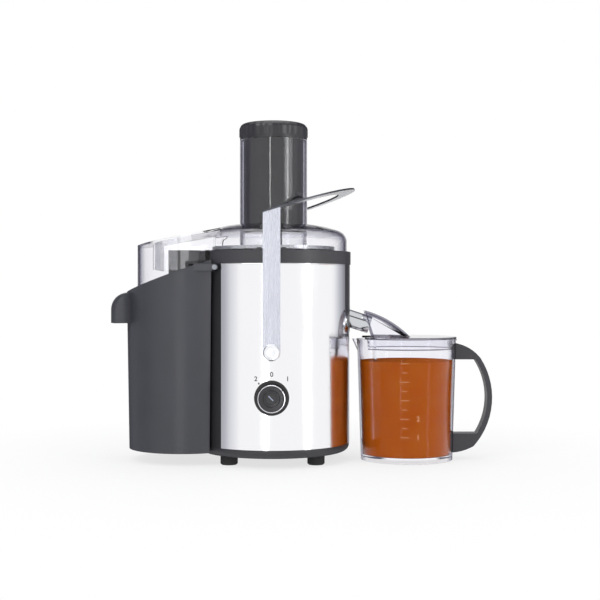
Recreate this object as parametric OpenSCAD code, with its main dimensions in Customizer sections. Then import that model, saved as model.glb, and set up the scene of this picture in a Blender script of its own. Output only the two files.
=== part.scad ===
// Centrifugal juicer: motor base, filter bowl, clear cover with feed chute, pulp bin and juice jug.
// Millimetres. +Z up, +X towards the jug, -Y is the front with the control knob.
// The origin is the middle of the whole footprint, on the table.

/* [Body] */
// Outer radius of the steel wrap
body_r = 91; // [84:0.5:100]
// Thickness of the steel wrap
steel_t = 0.8; // [0.5:0.1:1.2]
// Wall of the moulded housing
shell_wall = 2.5; // [2:0.1:3.5]
// Height of the housing's lower edge above the table
shell_base_z = 21; // [18:0.5:24]
// Height of the housing's upper edge above the table
shell_top_z = 231; // [226:0.5:240]
// Half angle of the black stretch beside the bin
bare_half_deg = 50.4; // [47:0.1:56]
// Radius of the notch for the spout housing
notch_r = 35; // [30:0.5:38]
// Depth of the notch below the housing's upper edge
notch_depth = 81; // [70:0.5:84]
// Depth of the deck below the housing's upper edge
deck_depth = 49; // [48:0.5:53]
// Thickness of the deck
deck_t = 4; // [3:0.1:5]

/* [Base] */
// Height of the base's underside above the table
base_z = 10.6; // [9:0.1:12]
// Radius of the base's lower edge
base_edge_r = 8; // [4:0.5:9]
// Thickness of the base's floor
base_floor = 3; // [2:0.1:4]
// Radius of one rubber foot
foot_r = 10; // [7:0.5:12]
// Distance of each foot from the middle, along X and along Y
foot_reach = 50; // [46:0.5:51]
// Depth of each foot's seat in the base
foot_seat = 1.4; // [1:0.1:2]
// Distance of the base screws from the middle
base_screw_reach = 72; // [66:0.5:74]
// Angle of the base screws from the X axis
base_screw_deg = 20; // [15:1:24]
// Radius of a base screw's shank
base_screw_r = 1.9; // [1.5:0.1:2.2]

/* [Motor] */
// Radius of the motor shaft
shaft_r = 4; // [3:0.1:5]
// Length of the posts that hang the motor under the deck
hang_post = 21; // [18:0.5:26]
// Thickness of one rubber motor mount
mount_t = 5; // [3:0.5:7]
// Distance of the hanging posts from the middle, along X and along Y
mount_reach = 34; // [32:0.5:38]
// Thickness of the motor's end brackets
bracket_t = 4; // [3:0.5:5]
// Height of the space for the fan above the field stack
fan_space = 28; // [26:0.5:32]
// Height of the field stack
stack_h = 48; // [40:1:52]
// Width of the field stack
stack_w = 96; // [94:1:104]
// Depth of the field stack
stack_d = 72; // [66:1:78]
// Radius of the armature core
armature_r = 25; // [20:0.5:27]
// Air gap between the armature and the field stack
air_gap = 0.6; // [0.4:0.1:1]
// Height of the space for the commutator below the field stack
brush_space = 34; // [32:0.5:38]
// Radius of the commutator
commutator_r = 12; // [9:0.5:14]
// Radius of the cooling fan
fan_r = 30; // [22:0.5:32]
// Number of fan blades
fan_blades = 11; // [7:1:15]
// Distance of the motor's tie bolts from the middle
tie_reach = 41; // [40:0.5:43]
// Radius of a tie bolt
tie_r = 2.2; // [1.8:0.1:2.6]
// Outer radius of the ball bearings
bearing_r = 11; // [9:0.5:13]
// Height of the ball bearings
bearing_h = 7; // [5:0.5:8]

/* [Filter bowl] */
// How far the bowl's rim band stands out beyond the steel
band_step = 1; // [1:0.1:1.6]
// Height of the bowl's rim band
band_h = 15; // [12:0.5:18]
// Wall of the bowl
bowl_wall = 2.5; // [2:0.1:3]
// Gap between the bowl and the housing around it
bowl_gap = 3.6; // [2:0.1:4.5]
// Depth of the bowl below its rim band
bowl_depth = 46.5; // [44:0.5:47.5]
// Inner radius of the collar round the drive
collar_r = 20; // [18.5:0.5:22]
// Height of that collar above the bowl's floor
collar_h = 16; // [10:0.5:17]
// Reach of the pulp chute beyond the rim band
pulp_chute_reach = 29; // [24:0.5:32]
// Half width of the pulp chute
pulp_chute_half = 38; // [30:0.5:42]
// Drop of the pulp chute below the band
pulp_chute_drop = 19; // [14:0.5:22]

/* [Spout] */
// Outer radius of the spout tube
spout_r = 10.4; // [8:0.1:11.4]
// Wall of the spout tube
spout_wall = 1.2; // [0.8:0.1:2]
// Downward slope of the spout
spout_deg = 18; // [12:0.5:22]
// Reach of the spout beyond the body
spout_reach = 25; // [20:0.5:26]
// Height of the spout's axis above the notch's lowest point, at the body's face
spout_rise = 17; // [15:0.5:22]

/* [Filter basket] */
// Radius of the grater disc
grater_r = 46; // [42:0.5:48]
// Radius of the basket's rim
basket_r = 73; // [68:0.5:76]
// Height of the mesh cone
mesh_h = 38; // [34:0.5:40]
// Thickness of the mesh
mesh_t = 0.8; // [0.6:0.1:1.2]
// Number of grater teeth in a ring
grater_teeth = 20; // [12:2:26]

/* [Cover] */
// Gap between the cover's wall and the bowl's rim band
cover_gap = 1.9; // [1.3:0.1:2.5]
// Wall of the cover
cover_wall = 2.4; // [2:0.1:2.8]
// Height of the cover's crown above the rim band
crown_h = 33; // [30:0.5:38]
// Radius of the cover's extension over the bin
hood_r = 58; // [54:0.5:60]
// Slope of the extension's roof
hood_deg = 10.4; // [8:0.1:11]
// Outer radius of the feed chute
chute_r = 40; // [36:0.5:42]
// Wall of the feed chute
chute_wall = 2.5; // [2:0.1:3]
// Height of the feed chute above the crown
chute_h = 100; // [80:1:120]

/* [Food pusher] */
// Length of the pusher below its cap
pusher_len = 106; // [70:1:116]
// Gap between the pusher and the chute
pusher_gap = 1.6; // [1:0.1:3]
// Wall of the pusher
pusher_wall = 2.2; // [1.8:0.1:3]
// Height of the pusher's cap
cap_h = 21; // [16:0.5:26]
// How far the cap stands out beyond the chute
cap_lip = 0.9; // [0.5:0.1:2]

/* [Locking arm] */
// Width of the arm's strap
strap_w = 19.6; // [18:0.1:24]
// Thickness of the strap
strap_t = 2; // [1.5:0.1:2.6]
// Gap between the strap and the rim band
strap_gap = 2.6; // [2.4:0.1:4]
// Height of the arm's pivot above the table
pivot_z = 131; // [122:0.5:136]
// Height of the fold above the pivot
fold_h = 159; // [156:0.5:170]
// Slope of the loop
loop_deg = 17; // [12:0.5:20]
// Width of the loop's plate
loop_w = 20; // [16:0.5:24]
// Radius of the rivets' shank
rivet_r = 4; // [3:0.1:5]
// Radius of the rivets' head
rivet_head_r = 9.4; // [7:0.1:10]

/* [Control] */
// Height of the knob's centre above the table
knob_z = 80; // [74:0.5:84]
// Radius of the knob
knob_r = 15.6; // [13:0.1:17]
// Length of the knob in front of its bezel
knob_len = 11.6; // [8:0.1:14]
// Radius of the bezel
bezel_r = 19.6; // [18.5:0.1:22]
// Height of the bezel in front of the steel
bezel_h = 3.4; // [2:0.1:5]
// Radius of the switch spindle
spindle_r = 3; // [2.5:0.1:4]

/* [Pulp bin] */
// Radius of the bin at its top
bin_r = 71; // [68:0.5:73]
// Radius of the bin at its bottom
bin_foot_r = 67.5; // [64:0.5:71]
// Distance of the bin's centre from the body's face
bin_offset = 13; // [10:0.5:14]
// Wall of the bin
bin_wall = 2.4; // [2:0.1:3]
// Height of the bin's underside above the table
bin_z = 14; // [10:0.5:18]
// Gap between the bin and the body
bin_gap = 2.2; // [1.8:0.1:3]
// Height of the bin's rim at its outer side
rim_low_z = 198; // [190:0.5:204]
// Height of the bin's rim at the body, above the housing's upper edge
rim_rise = 5.3; // [3:0.1:9]
// Bow of the rim's slope
rim_bow = 0.8; // [0.4:0.1:4]
// Reach of the grip lip beyond the bin's wall
lip_reach = 18; // [14:0.5:24]
// Half angle of the grip lip round the bin
lip_deg = 29; // [20:1:36]
// Radius of the bin's pegs
peg_r = 2.4; // [2:0.1:3]

/* [Jug] */
// Radius of the jug at its rim
jug_r = 59; // [55:0.5:62]
// Radius of the jug at its foot
jug_foot_r = 54.6; // [50:0.5:58]
// Clearance between the jug's rim and the notch in the body
jug_gap = 7; // [5:0.5:11]
// Wall of the jug
jug_wall = 2.5; // [2:0.1:3.2]
// Thickness of the jug's floor
jug_floor = 2.5; // [2:0.1:3.2]
// Height of the jug's foot ring
jug_ring = 4.3; // [2:0.1:6]
// Distance of the jug's middle from the body's face
jug_offset = 67.6; // [67:0.1:72]
// Reach of the jug's pouring lip beyond its wall
lip_out = 6; // [2:0.1:6.4]
// Reach of the handle beyond the jug's rim
handle_reach = 42; // [39:0.5:49]
// Width of the handle
handle_w = 20; // [14:0.5:26]
// Height of the lid's plate above the jug's rim
lid_h = 2.4; // [1.8:0.1:3]
// Height of the lid's hood above the jug's rim
hood_h = 34; // [32:0.5:37]
// Half width of the opening under the hood
hood_half = 13.6; // [12.5:0.1:17]

/* [Hidden] */
$fn = 96;

run_fit = 0.06;   // radial clearance of a pin that turns or slides in its bore
seat_gap = 0.15;  // clearance of a fixed piece in its seat
move_gap = 0.5;   // clearance between pieces that pass each other

// Heights of the machine, from the housing's upper edge down to the motor's tail
deck_top = shell_top_z - deck_depth;
deck_under = deck_top - deck_t;
post_end = deck_under - hang_post;
bracket_top = post_end - mount_t;
bracket_low = bracket_top - bracket_t;
stack_top = bracket_low - fan_space;
stack_low = stack_top - stack_h;
tail_top = stack_low - brush_space;
tail_low = tail_top - bracket_t;
base_floor_z = base_z + base_floor;
notch_z = shell_top_z - notch_depth;

// Radii of the housing
steel_in_r = body_r - steel_t;
shell_r = steel_in_r - seat_gap;
shell_in_r = shell_r - shell_wall;
base_r = body_r - 1;
fitting_in = shell_in_r - 3.5;   // how far the fittings reach in through the wall

// Bowl, basket and cover
band_r = body_r + band_step;
cover_r = band_r - bowl_wall - cover_gap;
band_top = shell_top_z + band_h;
bowl_r = shell_in_r - bowl_gap;
bowl_low = shell_top_z - bowl_depth;
bowl_floor_z = bowl_low + bowl_wall;
rim_floor_z = shell_top_z + bowl_wall;
gasket_t = 1.5;
cover_low = rim_floor_z + gasket_t;
basket_rim_z = band_top + 4;
basket_z = basket_rim_z - mesh_h;
basket_plate = 4;
hub_h = 5;
hub_r = collar_r - 2;
coupling_r = hub_r - 4;
coupling_z = deck_top + 3;
coupling_top = basket_z - basket_plate - 0.5;
grater_t = 1.2;
nut_h = 8;
crown_z = band_top + crown_h;
chute_top = crown_z + chute_h;
chute_low = basket_z + 12;

// Shapes of the cover's crown
shoulder_r = 14;
shoulder_deg = 70;
crown_r = 135;

// Pulp bin
bin_x = -(body_r + bin_offset);
ear_r = peg_r + 1.5;
ear_t = 1.8;
ear_y = bin_r - 3.3;   // the ears stand just inside the bin's widest line, clear of the body
peg_x = -sqrt(pow(body_r + move_gap, 2) - pow(ear_y, 2)) - ear_r;
peg_y = sqrt(pow(body_r, 2) - pow(peg_x, 2));
peg_z = shell_top_z - 4.4;
peg_head_r = peg_r + 0.5;
peg_seat = 4;
rim_high_z = shell_top_z + rim_rise;
bin_left = bin_x - bin_r;
hood_left = bin_x - hood_r;
hood_low_z = rim_low_z + 2;
lip_t = 3;
lip_drop = 16;
lip_root = bin_r - bin_wall + 0.6;
lip_bend = lip_reach + bin_wall - 0.6;
lip_foot_z = rim_low_z - lip_bend - lip_drop;

// Locking arm
strap_y = band_r + strap_gap;
strap_out = strap_y + strap_t;
fold_z = pivot_z + fold_h;
bush_r = rivet_r + 4;
rivet_head_t = 3.2;
catch_z = band_top + 5.3;
lug_top = catch_z - move_gap;
plunger_z = pivot_z + 34;
plunger_r = 2.5;
pad_t = 0.8;
plunger_tip = strap_y - pad_t - move_gap;

// Control
bezel_front = body_r + bezel_h;
knob_back = bezel_front + 0.4;
knob_front = knob_back + knob_len;
sleeve_r = spindle_r + 5;
switch_depth = 22;

// Jug
jug_x = body_r + jug_offset;
jug_h = notch_z - jug_gap;
jug_floor_z = jug_ring + jug_floor;
jug_taper = (jug_r - jug_foot_r) / jug_h;
skirt_h = 12;
skirt_r = jug_r - jug_wall - jug_taper * skirt_h - 0.5;
lid_low = jug_h + seat_gap;
lid_top = lid_low + lid_h;
hood_wall = 2;
separator_t = 1.6;
separator_x = 20 - jug_r;

// Cord inlet
gland_z = shell_base_z + 15;
gland_r = 8;
gland_reach = knob_front - body_r;

// Places the whole machine so that the origin is the middle of its footprint
reach_left = -bin_left + lip_reach;
reach_right = jug_x + jug_r + handle_reach;
motor_x = (reach_left - reach_right) / 2;

module at_motor() { translate([motor_x, 0, 0]) children(); }
module at_jug() { at_motor() translate([jug_x, 0, 0]) children(); }

// Both front and back
module front_and_back() { for (side = [0, 1]) mirror([0, side, 0]) children(); }

// Points on an arc, as [x, y]
function arc(x, y, r, from, to, steps = 12) =
    [for (i = [0:steps]) let (a = from + (to - from) * i / steps) [x + r * cos(a), y + r * sin(a)]];

// A cylinder that points to the front, from depth y0 out to depth y1
module out_front(r, y0, y1) {
    translate([0, -y0, 0]) rotate([90, 0, 0]) cylinder(r = r, h = y1 - y0);
}

module ring(outer, inner, h) {
    difference() {
        cylinder(r = outer, h = h);
        translate([0, 0, -1]) cylinder(r = inner, h = h + 2);
    }
}

// A straight wire between two points
module wire(from, to, r) {
    run = to - from;
    length = norm(run);
    translate(from)
        rotate([0, acos(run[2] / length), atan2(run[1], run[0])])
            cylinder(r = r, h = length, $fn = 24);
}

// A wedge of the given half angle round -X, as tall as the housing
module bin_side(half_deg) {
    far = 2 * body_r;
    linear_extrude(height = shell_top_z)
        polygon([[0, 0], [-far * cos(half_deg), far * sin(half_deg)],
                 [-far, far * sin(half_deg)], [-far, -far * sin(half_deg)],
                 [-far * cos(half_deg), -far * sin(half_deg)]]);
}

// The U shape of the spout's notch, from depth x0 out to depth x1
module notch(r, x0, x1) {
    centre_z = notch_z + notch_r;
    translate([x0, 0, centre_z]) {
        rotate([0, 90, 0]) cylinder(r = r, h = x1 - x0);
        translate([0, -r, 0]) cube([x1 - x0, 2 * r, shell_top_z - centre_z + 1]);
    }
}

// ---- Base ----

module at_base_screws() {
    for (a = [base_screw_deg, 180 - base_screw_deg, 180 + base_screw_deg, -base_screw_deg])
        rotate([0, 0, a]) translate([base_screw_reach, 0, 0]) rotate([0, 0, -a]) children();
}

module at_feet() {
    for (x = [-foot_reach, foot_reach], y = [-foot_reach, foot_reach])
        translate([x, y, 0]) children();
}

module base_pan() {
    tongue_out = shell_in_r - 0.4;
    boss_r = base_screw_r + 4.1;
    head_r = base_screw_r + 2.3;
    inner_r = base_r - shell_wall - 1;
    color("#4a4b50") at_motor() difference() {
        union() {
            rotate_extrude() polygon(concat(
                [[0, base_z]],
                arc(base_r - base_edge_r, base_z + base_edge_r, base_edge_r, -90, 0),
                [[base_r, shell_base_z], [tongue_out, shell_base_z],
                 [tongue_out, shell_base_z + 3], [tongue_out - 2.5, shell_base_z + 3],
                 [tongue_out - 2.5, base_floor_z + 2], [tongue_out - 6, base_floor_z], [0, base_floor_z]]));
            at_base_screws() translate([0, 0, base_z]) cylinder(r = boss_r, h = shell_base_z - base_z);
        }
        at_feet() translate([0, 0, base_z - 1]) cylinder(r = foot_r + seat_gap, h = foot_seat + 1);
        at_base_screws() {
            translate([0, 0, base_z - 1]) cylinder(r = head_r, h = 5);
            cylinder(r = base_screw_r + 0.3, h = shell_base_z + 1);
        }
        for (x = [-24:8:24]) translate([x - 1.5, -26, base_z - 1]) cube([3, 52, base_floor + 2]);
    }
}

module rubber_feet() {
    color("#232326") at_motor() at_feet() rotate_extrude() polygon([
        [0, 0], [foot_r - 1.5, 0], [foot_r, 1.5], [foot_r, base_z + foot_seat - seat_gap],
        [0, base_z + foot_seat - seat_gap]]);
}

module base_screws() {
    head_z = base_z + 4 - 2.2;
    color("#c9cacc") at_motor() at_base_screws() difference() {
        union() {
            translate([0, 0, head_z]) cylinder(r = base_screw_r + 1.9, h = 2.2);
            translate([0, 0, head_z + 1]) cylinder(r = base_screw_r, h = shell_base_z + 12 - head_z);
        }
        for (a = [0, 90]) rotate([0, 0, a]) translate([-2.2, -0.5, head_z - 1]) cube([4.4, 1, 2]);
    }
}

// ---- Housing ----

module body_shell() {
    boss_r = base_screw_r + 3.1;
    boss_h = 24;
    post_r = 5;
    pocket_x = body_r - 35;
    seal_r = shaft_r + 8;
    color("#2c2c30") at_motor() difference() {
        union() {
            translate([0, 0, shell_base_z]) ring(shell_r, shell_in_r, shell_top_z - shell_base_z);
            // black stretch beside the bin, flush with the steel
            intersection() {
                translate([0, 0, shell_base_z]) ring(body_r, shell_in_r + 1, shell_top_z - shell_base_z);
                bin_side(bare_half_deg - 0.15);
            }
            translate([0, 0, deck_under]) cylinder(r = shell_in_r + 1, h = deck_t);
            translate([0, 0, deck_under - 2]) cylinder(r = seal_r + 3, h = deck_t + 3);
            for (x = [-mount_reach, mount_reach], y = [-mount_reach, mount_reach])
                translate([x, y, post_end]) cylinder(r = post_r, h = hang_post + 1);
            at_base_screws() translate([0, 0, shell_base_z]) cylinder(r = boss_r, h = boss_h);
            for (a = [base_screw_deg, 180 - base_screw_deg, 180 + base_screw_deg, -base_screw_deg])
                rotate([0, 0, a]) translate([base_screw_reach + 3, -1.5, shell_base_z + 4])
                    cube([shell_in_r + 1 - base_screw_reach - 3, 3, boss_h - 4]);
            intersection() {
                notch(notch_r + shell_wall, pocket_x, body_r);
                cylinder(r = shell_in_r + 1, h = deck_top);
            }
        }
        notch(notch_r, pocket_x + shell_wall, body_r + 1);
        translate([0, 0, deck_under - 3]) cylinder(r = seal_r + seat_gap, h = deck_t + 5);
        for (x = [-mount_reach, mount_reach], y = [-mount_reach, mount_reach])
            translate([x, y, post_end - 1]) cylinder(r = 2.1, h = 16);
        at_base_screws() translate([0, 0, shell_base_z - 1]) cylinder(r = base_screw_r + seat_gap, h = 18);
        // seats of the front and back fittings
        front_and_back() translate([0, 0, pivot_z])
            out_front(bush_r + seat_gap, shell_in_r - 5, body_r + 1);
        translate([0, 0, knob_z]) out_front(sleeve_r + seat_gap, shell_in_r - 5, body_r + 1);
        translate([0, 0, plunger_z]) out_front(plunger_r + 2.5 + seat_gap, shell_in_r - 5, body_r + 1);
        translate([0, 0, gland_z]) rotate([0, 0, 180])
            out_front(gland_r + seat_gap, shell_in_r - 5, body_r + 1);
        front_and_back() translate([peg_x, 0, peg_z])
            out_front(peg_r + seat_gap, peg_y - peg_seat - 0.5, peg_y + peg_seat);
        // cooling slots low in the bin's side
        for (z = [0:7:28]) translate([-body_r - 1, -22, shell_base_z + 30 + z]) cube([8, 44, 3]);
    }
}

module steel_wrap() {
    color("#d9dadd") at_motor() difference() {
        translate([0, 0, shell_base_z]) ring(body_r, steel_in_r, shell_top_z - shell_base_z);
        bin_side(bare_half_deg);
        notch(notch_r, steel_in_r - 10, body_r + 1);
        front_and_back() translate([0, 0, pivot_z]) out_front(bush_r + seat_gap, 70, body_r + 1);
        translate([0, 0, knob_z]) out_front(sleeve_r + seat_gap, 70, body_r + 1);
        translate([0, 0, plunger_z]) out_front(plunger_r + 2.5 + seat_gap, 70, body_r + 1);
        translate([0, 0, gland_z]) rotate([0, 0, 180]) out_front(gland_r + seat_gap, 70, body_r + 1);
    }
}

module cord_gland() {
    hole = 3.7;
    flange_y = body_r + 0.1;
    color("#202022") at_motor() translate([0, 0, gland_z]) rotate([90, 0, 180]) difference() {
        union() {
            translate([0, 0, fitting_in]) cylinder(r = gland_r, h = flange_y - fitting_in + 0.5);
            translate([0, 0, flange_y]) cylinder(r = gland_r + 3, h = 2.4);
            translate([0, 0, flange_y + 2]) cylinder(r1 = gland_r - 1, r2 = hole + 2, h = gland_reach - 2.1);
        }
        translate([0, 0, fitting_in - 1]) cylinder(r = hole, h = gland_reach + 20);
    }
}

module terminal_block() {
    color("#e6e2d6") at_motor() translate([-18, 44, base_floor_z]) difference() {
        cube([36, 14, 12]);
        for (x = [6:12:30]) translate([x, 7, 4]) cylinder(r = 2.4, h = 9);
        for (x = [6:12:30]) translate([x, -1, 5]) rotate([-90, 0, 0]) cylinder(r = 1.6, h = 16);
    }
}

module suppressor_capacitor() {
    color("#8c6f2c") at_motor() translate([34, 34, base_floor_z]) difference() {
        cube([16, 11, 12]);
        translate([-1, -1, 10.5]) cube([3, 13, 3]);
    }
}

// Two supply wires, from the terminal block to the brushes and up to the speed switch
module wiring_loom() {
    r = 1.1;
    end_y = 48;
    end_z = base_floor_z + 12;
    low_y = stack_d / 2 + 9;
    switch_y = -(fitting_in - switch_depth / 2);
    color("#7b2d26") at_motor() for (x = [-12, 12]) {
        points = [[x, end_y + 3, end_z - 6], [x, end_y + 3, end_z + 8], [x * 3, low_y, knob_z - 18],
                  [x * 4.9, 0, knob_z - 22], [x * 3, -low_y, knob_z - 18], [x * 0.6, switch_y, knob_z - 17],
                  [x * 0.6, switch_y, knob_z - 12]];
        union() {
            for (i = [0:len(points) - 2]) wire(points[i], points[i + 1], r);
            for (i = [1:len(points) - 2]) translate(points[i]) sphere(r = r + 0.25, $fn = 24);
        }
    }
}

// ---- Motor ----

module at_tie_bolts() { for (side = [-1, 1]) translate([side * tie_reach, 0, 0]) children(); }

module upper_bracket() {
    disc_r = mount_reach * sqrt(2) + 7;
    color("#9fa3a8") at_motor() difference() {
        union() {
            translate([0, 0, bracket_low]) cylinder(r = disc_r, h = bracket_t);
            translate([0, 0, bracket_low]) cylinder(r = bearing_r + 3, h = bearing_h + 3);
            at_tie_bolts() translate([0, 0, stack_top]) cylinder(r = tie_r + 3.3, h = fan_space + 1);
        }
        translate([0, 0, bracket_low + 3]) cylinder(r = bearing_r + 0.02, h = bearing_h + 1);
        translate([0, 0, bracket_low - 1]) cylinder(r = shaft_r + 3, h = 6);
        at_tie_bolts() translate([0, 0, stack_top - 1]) cylinder(r = tie_r + seat_gap, h = 100);
        for (x = [-mount_reach, mount_reach], y = [-mount_reach, mount_reach])
            translate([x, y, bracket_low - 1]) cylinder(r = 2.3, h = bracket_t + 2);
        front_and_back() translate([-14, 22, bracket_low - 1]) cube([28, 18, bracket_t + 2]);
    }
}

module lower_bracket() {
    color("#9fa3a8") at_motor() difference() {
        union() {
            translate([-tie_reach - 7, -12, tail_low]) cube([2 * tie_reach + 14, 24, bracket_t]);
            translate([0, 0, tail_low]) cylinder(r = bearing_r + 3, h = bearing_h + 3);
            at_tie_bolts() translate([0, 0, tail_low]) cylinder(r = tie_r + 3.3, h = stack_low - tail_low);
        }
        translate([0, 0, tail_low + 3]) cylinder(r = bearing_r + 0.02, h = bearing_h + 1);
        translate([0, 0, tail_low - 1]) cylinder(r = shaft_r + 3, h = 6);
        at_tie_bolts() translate([0, 0, tail_low - 1]) cylinder(r = tie_r + seat_gap, h = 100);
    }
}

module tie_bolts() {
    color("#b9bcc0") at_motor() at_tie_bolts() union() {
        translate([0, 0, tail_low - 2.6]) cylinder(r = tie_r + 2, h = 2.6, $fn = 6);
        translate([0, 0, tail_low - 1]) cylinder(r = tie_r, h = bracket_top - tail_low + 5);
        translate([0, 0, bracket_top]) cylinder(r = tie_r + 2, h = 3, $fn = 6);
    }
}

module at_coil_bars() {
    bar_r = armature_r + air_gap + 4.6;
    for (a = [48, 132, 228, 312]) rotate([0, 0, a]) translate([bar_r - 3.3, -3.3, 0]) children();
}

module field_stack() {
    color("#6d7178") at_motor() difference() {
        translate([-stack_w / 2, -stack_d / 2, stack_low]) cube([stack_w, stack_d, stack_h]);
        translate([0, 0, stack_low - 1]) cylinder(r = armature_r + air_gap, h = stack_h + 2);
        at_tie_bolts() translate([0, 0, stack_low - 1]) cylinder(r = tie_r + seat_gap, h = stack_h + 2);
        translate([0, 0, stack_low - 1]) at_coil_bars()
            translate([-seat_gap, -seat_gap, 0]) cube([6.6 + 2 * seat_gap, 6.6 + 2 * seat_gap, stack_h + 2]);
        for (x = [-1, 1], y = [-1, 1]) translate([x * stack_w / 2, y * stack_d / 2, stack_low - 1])
            rotate([0, 0, 45]) translate([-7, -7, 0]) cube([14, 14, stack_h + 2]);
    }
}

module field_coils() {
    inner = armature_r + air_gap + 1.3;
    end_h = 9;
    color("#b5652b") at_motor() for (side = [0, 180]) rotate([0, 0, side]) union() {
        for (z = [stack_low - end_h, stack_top + seat_gap])
            translate([0, 0, z]) rotate([0, 0, -54]) rotate_extrude(angle = 108)
                translate([inner, 0]) square([6.6, end_h - seat_gap]);
        for (a = [-48, 48]) rotate([0, 0, a])
            translate([inner, -3.3, stack_low - end_h]) cube([6.6, 6.6, stack_h + 2 * end_h]);
    }
}

module ball_bearing(z) {
    translate([0, 0, z]) difference() {
        cylinder(r = bearing_r, h = bearing_h);
        translate([0, 0, -1]) cylinder(r = shaft_r + run_fit, h = bearing_h + 2);
        for (end = [-0.5, bearing_h - 0.5]) translate([0, 0, end])
            ring(bearing_r - 2.2, shaft_r + 2, 1);
    }
}

module lower_bearing() { color("#cfd1d4") at_motor() ball_bearing(tail_low + 3); }

module upper_bearing() { color("#cfd1d4") at_motor() ball_bearing(bracket_low + 3); }

module motor_mounts() {
    color("#1c1c1e") at_motor() for (x = [-mount_reach, mount_reach], y = [-mount_reach, mount_reach])
        translate([x, y, bracket_top]) ring(7, 2.3, mount_t);
}

module motor_screws() {
    color("#c9cacc") at_motor() for (x = [-mount_reach, mount_reach], y = [-mount_reach, mount_reach])
        translate([x, y, bracket_low - 3]) difference() {
            union() {
                cylinder(r = 3.8, h = 3);
                cylinder(r = 2, h = bracket_t + mount_t + 14);
            }
            for (a = [0, 90]) rotate([0, 0, a]) translate([-2, -0.5, -1]) cube([4, 1, 2.2]);
        }
}

module shaft_seal() {
    seal_r = shaft_r + 8;
    color("#1c1c1e") at_motor() translate([0, 0, deck_under - 2]) difference() {
        cylinder(r = seal_r, h = deck_t + 2.6);
        translate([0, 0, -1]) cylinder(r = shaft_r + 0.4, h = 20);
        translate([0, 0, -1]) cylinder(r = seal_r - 3, h = 3.5);
    }
}

brush_z = stack_low - 23;

module brush_holders() {
    plate_z = brush_z - 3;
    color("#d8cfa8") at_motor() difference() {
        union() {
            translate([0, 0, plate_z]) cylinder(r = tie_reach + 1, h = 3);
            for (side = [0, 180]) rotate([0, 0, side])
                translate([commutator_r + 3, -6.5, plate_z + 2]) cube([16, 13, 11]);
        }
        translate([0, 0, plate_z - 1]) cylinder(r = commutator_r + 2, h = 5);
        for (side = [0, 180]) rotate([0, 0, side])
            translate([commutator_r, -3.5 - seat_gap, brush_z + 0.85]) cube([17, 7 + 2 * seat_gap, 6.3]);
        at_tie_bolts() translate([0, 0, plate_z - 1]) cylinder(r = tie_r + 3.3 + seat_gap, h = 20);
    }
}

module carbon_brushes() {
    color("#3a3a3c") at_motor() for (side = [0, 180]) rotate([0, 0, side]) difference() {
        translate([commutator_r - 1, -3.5, brush_z + 1]) cube([16, 7, 6]);
        translate([0, 0, brush_z]) cylinder(r = commutator_r + 0.15, h = 10);
    }
}

// ---- Rotor ----

module motor_shaft() {
    color("#b9bcc0") at_motor() translate([0, 0, tail_low + 2])
        cylinder(r = shaft_r, h = basket_z + nut_h - tail_low - 3);
}

module on_shaft(z, h) {
    difference() {
        children();
        translate([0, 0, z - 1]) cylinder(r = shaft_r + 0.02, h = h + 2);
    }
}

module armature_core() {
    color("#7b7f86") at_motor() on_shaft(stack_low, stack_h) difference() {
        translate([0, 0, stack_low]) cylinder(r = armature_r, h = stack_h);
        for (a = [0:30:330]) rotate([0, 0, a]) translate([armature_r - 5, -1, stack_low - 1])
            cube([6, 2, stack_h + 2]);
    }
}

module armature_windings() {
    winding_h = 9;
    color("#c0702c") at_motor() on_shaft(stack_low - winding_h, stack_h + 2 * winding_h) union() {
        for (z = [stack_low - winding_h, stack_top]) translate([0, 0, z]) rotate_extrude()
            polygon(concat([[0, 0], [armature_r - 7, 0]],
                arc(armature_r - 7, winding_h / 2, winding_h / 2, -90, 90, 8), [[0, winding_h]]));
    }
}

module commutator() {
    height = 14;
    color("#b87333") at_motor() on_shaft(brush_z - 3, height) difference() {
        translate([0, 0, brush_z - 3]) cylinder(r = commutator_r, h = height);
        for (a = [0:30:330]) rotate([0, 0, a]) translate([commutator_r - 1.5, -0.4, brush_z - 4])
            cube([3, 0.8, height + 2]);
    }
}

module cooling_fan() {
    fan_h = 9;
    fan_z = bracket_low - fan_h - 5;
    color("#2f3136") at_motor() on_shaft(fan_z, fan_h) translate([0, 0, fan_z]) union() {
        cylinder(r = shaft_r + 5, h = fan_h);
        cylinder(r = fan_r, h = 1.5);
        for (i = [0:fan_blades - 1]) rotate([0, 0, i * 360 / fan_blades])
            translate([shaft_r + 3, -0.8, 0]) cube([fan_r - shaft_r - 4, 1.6, fan_h]);
    }
}

module drive_coupling() {
    color("#303236") at_motor() on_shaft(coupling_z, coupling_top - coupling_z) union() {
        translate([0, 0, coupling_z]) cylinder(r = coupling_r, h = coupling_top - coupling_z);
        for (a = [0:60:300]) rotate([0, 0, a]) translate([coupling_r - 1, -2, coupling_z + 8])
            cube([2.6, 4, coupling_top - coupling_z - 8]);
    }
}

module filter_basket() {
    low_r = grater_r + 2;
    top_r = basket_r - 2;
    rim_h = 4;
    color("#c8cacd") at_motor() union() {
        // mesh cone
        rotate_extrude() polygon([
            [low_r, basket_z], [top_r, basket_rim_z], [top_r - mesh_t, basket_rim_z],
            [low_r - mesh_t, basket_z]]);
        // rim ring, base plate and hub
        translate([0, 0, basket_rim_z - 2]) ring(basket_r, top_r - mesh_t, rim_h);
        difference() {
            union() {
                translate([0, 0, basket_z - basket_plate]) cylinder(r = low_r + 1, h = basket_plate);
                translate([0, 0, basket_z - basket_plate - hub_h]) cylinder(r = hub_r, h = hub_h + 1);
            }
            translate([0, 0, basket_z - basket_plate - hub_h - 1])
                cylinder(r = coupling_r + 1.6 + seat_gap, h = hub_h + 1);
            cylinder(r = shaft_r + seat_gap, h = basket_z + 10);
        }
    }
}

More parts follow.
